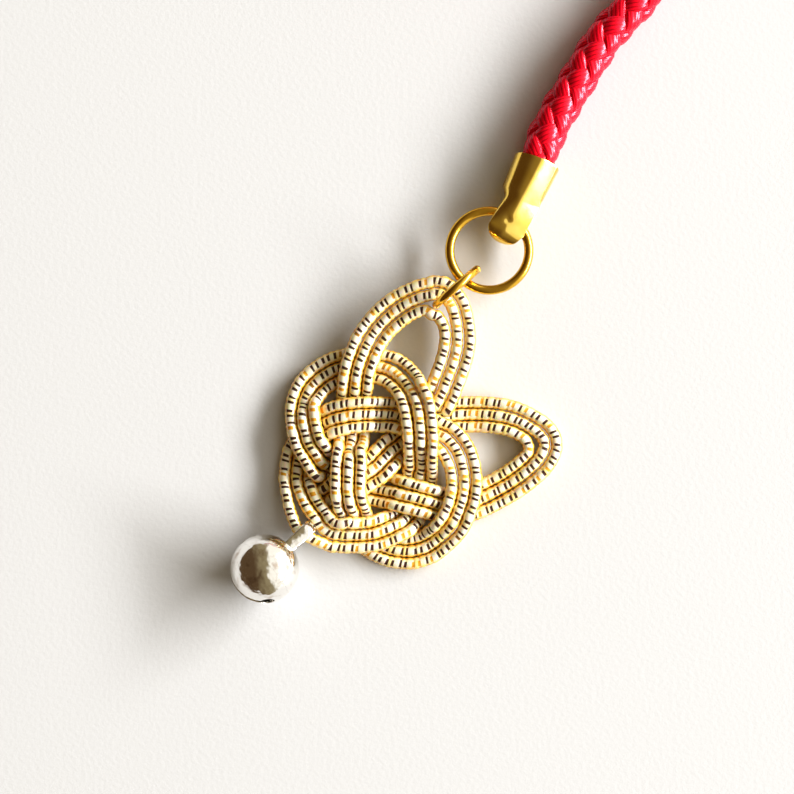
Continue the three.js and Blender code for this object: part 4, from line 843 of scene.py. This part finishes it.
def wrappedFinish():
    finish = newFinish("wrapped_cord")

    def share(value, rangeName):
        return finish.stepUp(value, *wrapped[rangeName])

    def pick(value, first, second):
        return finish.blend(value, wrapped[first], wrapped[second])

    topness, sideness, narrow = finish.marks("wrap")
    topness = topness.maths("ABSOLUTE")
    away, threadChance, bandChance = finish.marks("thread")
    # painted highlight: the ticks stop short of the flanks, further on the right of the strand's way, leaving
    # white film where glare would hide the print
    low, high = wrapped["reach"]
    soft = wrapped["reachSoft"]
    taper = (high - sideness) * wrapped["taper"] + wrapped["taperBase"]
    half = taper * (threadChance * wrapped["threadMore"] + wrapped["threadLeast"]) * wrapped["threadHalf"]
    across = 1 - finish.stepUp(away, *[half * edge for edge in wrapped["threadEdge"]])
    uneven = (threadChance - 0.5) * wrapped["reachUneven"]
    ends = finish.stepUp(sideness, low - soft, low + soft / 2) \
        * (1 - finish.stepUp(sideness + uneven, high - soft, high + soft))
    thread = across * ends.maths("MAXIMUM", 1 - share(topness, "flank"))
    wide = pick(share(bandChance, "shadeChance"), "white", "shade")
    slim = pick(share(bandChance, "creamChance"), "white", "cream")
    # painted sheen and shade by facing: the crown stays white, the film warms to peach and gives way to gold
    # foil down the sides
    lifted = topness + (bandChance - 0.5) * wrapped["drift"]
    foilAndSideShade = 1 - share(lifted, "foilRange")
    warm = (1 - share(lifted, "warm")) * wrapped["warmShare"]
    film = finish.blend(warm, finish.blend(narrow, wide, slim), wrapped["peach"])
    # painted shade: the side foil turns a deeper gold next to each thread, where its groove would be shaded
    nearThread = 1 - share(away + (bandChance - 0.5) * wrapped["deepUneven"], "deepWithin")
    band = finish.blend(foilAndSideShade, film, pick(nearThread, "foilAndSideShade", "deepFoil"))
    base = finish.blend(thread, band, pick(share(threadChance, "goldChance"), "thread", "goldThread"))
    bump = finish.bump(finish.noise(wrapped["grain"]), *wrapped["grainBump"])
    return finish.close(Base_Color=base, Metallic=foilAndSideShade * (1 - thread) * wrapped["foilMetal"], Normal=bump,
                        Roughness=thread * wrapped["threadRough"] + wrapped["rough"],
                        Coat_Weight=1 - thread * wrapped["threadDull"], Coat_IOR=1.75, Coat_Roughness=0.24,
                        Subsurface_Weight=0.5, Subsurface_Radius=(1.0, 0.6, 0.2), Subsurface_Scale=0.5 * mm)


# Plated metals: gold, bright on the caps, with a darker and browner copy on the rings that is painted shade
# for their dimmer reflections, and silver with shallow dents and a little tarnish. The second colour shows in
# patches, and the three parts of the roughness are its least value and what patches and fine grain add to it.
# Noise has a scale and a detail.
plated = {
    "gold_plate": {"colours": (colour(246, 208, 92), colour(255, 222, 130)), "patches": (900.0, 2.0),
                   "rough": (0.1, 0.08, 0.05), "grain": 9000.0, "dents": (900.0, 2.0), "bump": (0.02, 0.25)},
    "silver_plate": {"colours": (colour(250, 248, 244), colour(196, 180, 166)), "patches": (900.0, 4.0),
                     "patchRange": (0.5, 0.75), "rough": (0.09, 0.1, 0.06), "grain": 5000.0,
                     "dents": (420.0, 3.0), "bump": (0.4, 0.6)}}
# the rings' gold: a darker, browner copy of the caps' gold, as painted shade
plated["gold_plate_worn"] = {**plated["gold_plate"], "colours": (colour(226, 174, 58), colour(250, 208, 94))}
steel = {"colour": colour(150, 150, 152), "grain": 3000.0, "rough": 0.25, "grainRough": 0.2}


def platedFinish(name):
    metal, finish = plated[name], newFinish(name)
    patches = finish.noise(*metal["patches"])
    if "patchRange" in metal:
        patches = finish.stepUp(patches, *metal["patchRange"])
    least, patchRough, grainRough = metal["rough"]
    return finish.close(Base_Color=finish.blend(patches, *metal["colours"]), Metallic=1.0,
                        Roughness=least + patches * patchRough + finish.noise(metal["grain"]) * grainRough,
                        Normal=finish.bump(finish.noise(*metal["dents"]), *metal["bump"]))


def steelFinish():
    finish = newFinish("steel")
    return finish.close(Base_Color=steel["colour"], Metallic=1.0,
                        Roughness=steel["rough"] + finish.noise(steel["grain"]) * steel["grainRough"])


# Red braid: each yarn is a flat bundle of twisted fine threads, with painted shade darkening the grooves
# between them. A thread's ridge is sin(2 pi (angle across the yarn * threads / pi + twist * distance)).
braid = {"red": colour(240, 2, 42), "deep": colour(176, 0, 20), "threads": 7, "twist": 0.1,
         "fibres": 6000.0, "fibreShade": 0.8, "deepTo": 0.4, "ridgeHeight": 0.8, "fibreHeight": 0.3,
         "bump": (0.03, 0.5)}


def braidFinish():
    finish = newFinish("red_braid")
    acrossYarn, distance, _ = finish.marks("yarn")
    turns = acrossYarn.maths("ARCSINE") * (braid["threads"] / np.pi) + distance * braid["twist"]
    ridge = (turns * (2 * np.pi)).maths("SINE") * 0.5 + 0.5
    fibre = finish.noise(braid["fibres"])
    # painted shade: the deep red fills the grooves between the threads
    shade = finish.stepUp(ridge + (fibre - 0.5) * braid["fibreShade"], 0.0, braid["deepTo"])
    height = ridge * braid["ridgeHeight"] + fibre * braid["fibreHeight"]
    return finish.close(Base_Color=finish.blend(shade, braid["deep"], braid["red"]), Roughness=0.26,
                        Normal=finish.bump(height, *braid["bump"]),
                        Specular_IOR_Level=0.9, Specular_Tint=colour(255, 190, 210), Sheen_Weight=0.35,
                        Sheen_Roughness=0.5, Sheen_Tint=colour(255, 70, 120))


finishes = {name: platedFinish(name) for name in plated}
finishes.update(wrapped_cord=wrappedFinish(), red_braid=braidFinish(), steel=steelFinish())
ringPieces = [smallRing, largeRing, farRing]
for piece in [strapPiece, nearCap, farCap, *ringPieces, *strandPieces, *bellPieces]:
    piece.data.materials.clear()
    piece.data.materials.append(finishes["gold_plate_worn" if piece in ringPieces else piece["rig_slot"]])
slotOf = {part["node"]: part["material_slot"] for part in frame["record"]["subparts"]}
for name, node in frame["nodes"].items():
    node.data.materials.clear()
    node.data.materials.append(finishes[slotOf[name]])
print("scene: finishes made")

# Table top of pale paper
table = {"half": 1500.0, "colour": colour(216, 217, 220), "rough": 0.7, "grain": (2600.0, 3.0),
         "bump": (0.05, 0.3)}
corners = np.array([(-1, -1, 0), (1, -1, 0), (1, 1, 0), (-1, 1, 0)]) * table["half"]
paper = makePiece("paper", corners - heartPlace, [[0, 1, 2, 3]], None, None)
paperFinish = newFinish("paper")
paper.data.materials.append(paperFinish.close(
    Base_Color=table["colour"], Roughness=table["rough"],
    Normal=paperFinish.bump(paperFinish.noise(*table["grain"]), *table["bump"])))

# One low, wide and soft light from the right
key = {"azimuth": 7.0, "elevation": 25.0, "distance": 1200.0, "width": 1550.0, "height": 280.0, "power": 33.0,
       "colour": (1.0, 0.995, 0.975)}
keyAngle = np.radians(key["elevation"])
towardKey = lift(heading(key["azimuth"]) * np.cos(keyAngle), np.sin(keyAngle))
lampData = bpy.data.lights.new("key", "AREA")
lampData.shape = "RECTANGLE"
lampData.size, lampData.size_y, lampData.energy = key["width"] * mm, key["height"] * mm, key["power"]
lampData.color = key["colour"]
lampSide = unit(np.cross(up, towardKey))
lampAxes = together(lampSide, np.cross(towardKey, lampSide), towardKey, towardKey * key["distance"] * mm)
addObject("key", lampData).matrix_world = Matrix(np.vstack([lampAxes, [0, 0, 0, 1]]).tolist())

# The room is dim at the left, a little paler overhead, and bright to the right as from a window
room = {"azimuth": 10.0, "dim": colour(88, 70, 50), "middle": colour(140, 128, 100),
        "bright": colour(242, 238, 228), "dimTo": (-0.5, 0.1), "brightFrom": (0.2, 0.42)}
roomFinish = Finish(bpy.data.worlds.new("room"))
skyX, skyY, _ = roomFinish.split(roomFinish.objectPlace())
windowX, windowY = heading(room["azimuth"]).tolist()
toWindow = skyX * windowX + skyY * windowY
paler = roomFinish.blend(roomFinish.stepUp(toWindow, *room["dimTo"]), room["dim"], room["middle"])
sky = roomFinish.blend(roomFinish.stepUp(toWindow, *room["brightFrom"]), paler, room["bright"])
bpy.context.scene.world = roomFinish.close("ShaderNodeBackground", "ShaderNodeOutputWorld", Color=sky)
bpy.context.scene.view_settings.view_transform = "Standard"
bpy.context.scene.view_settings.look = "Medium High Contrast"
print("scene: table, light and room set")
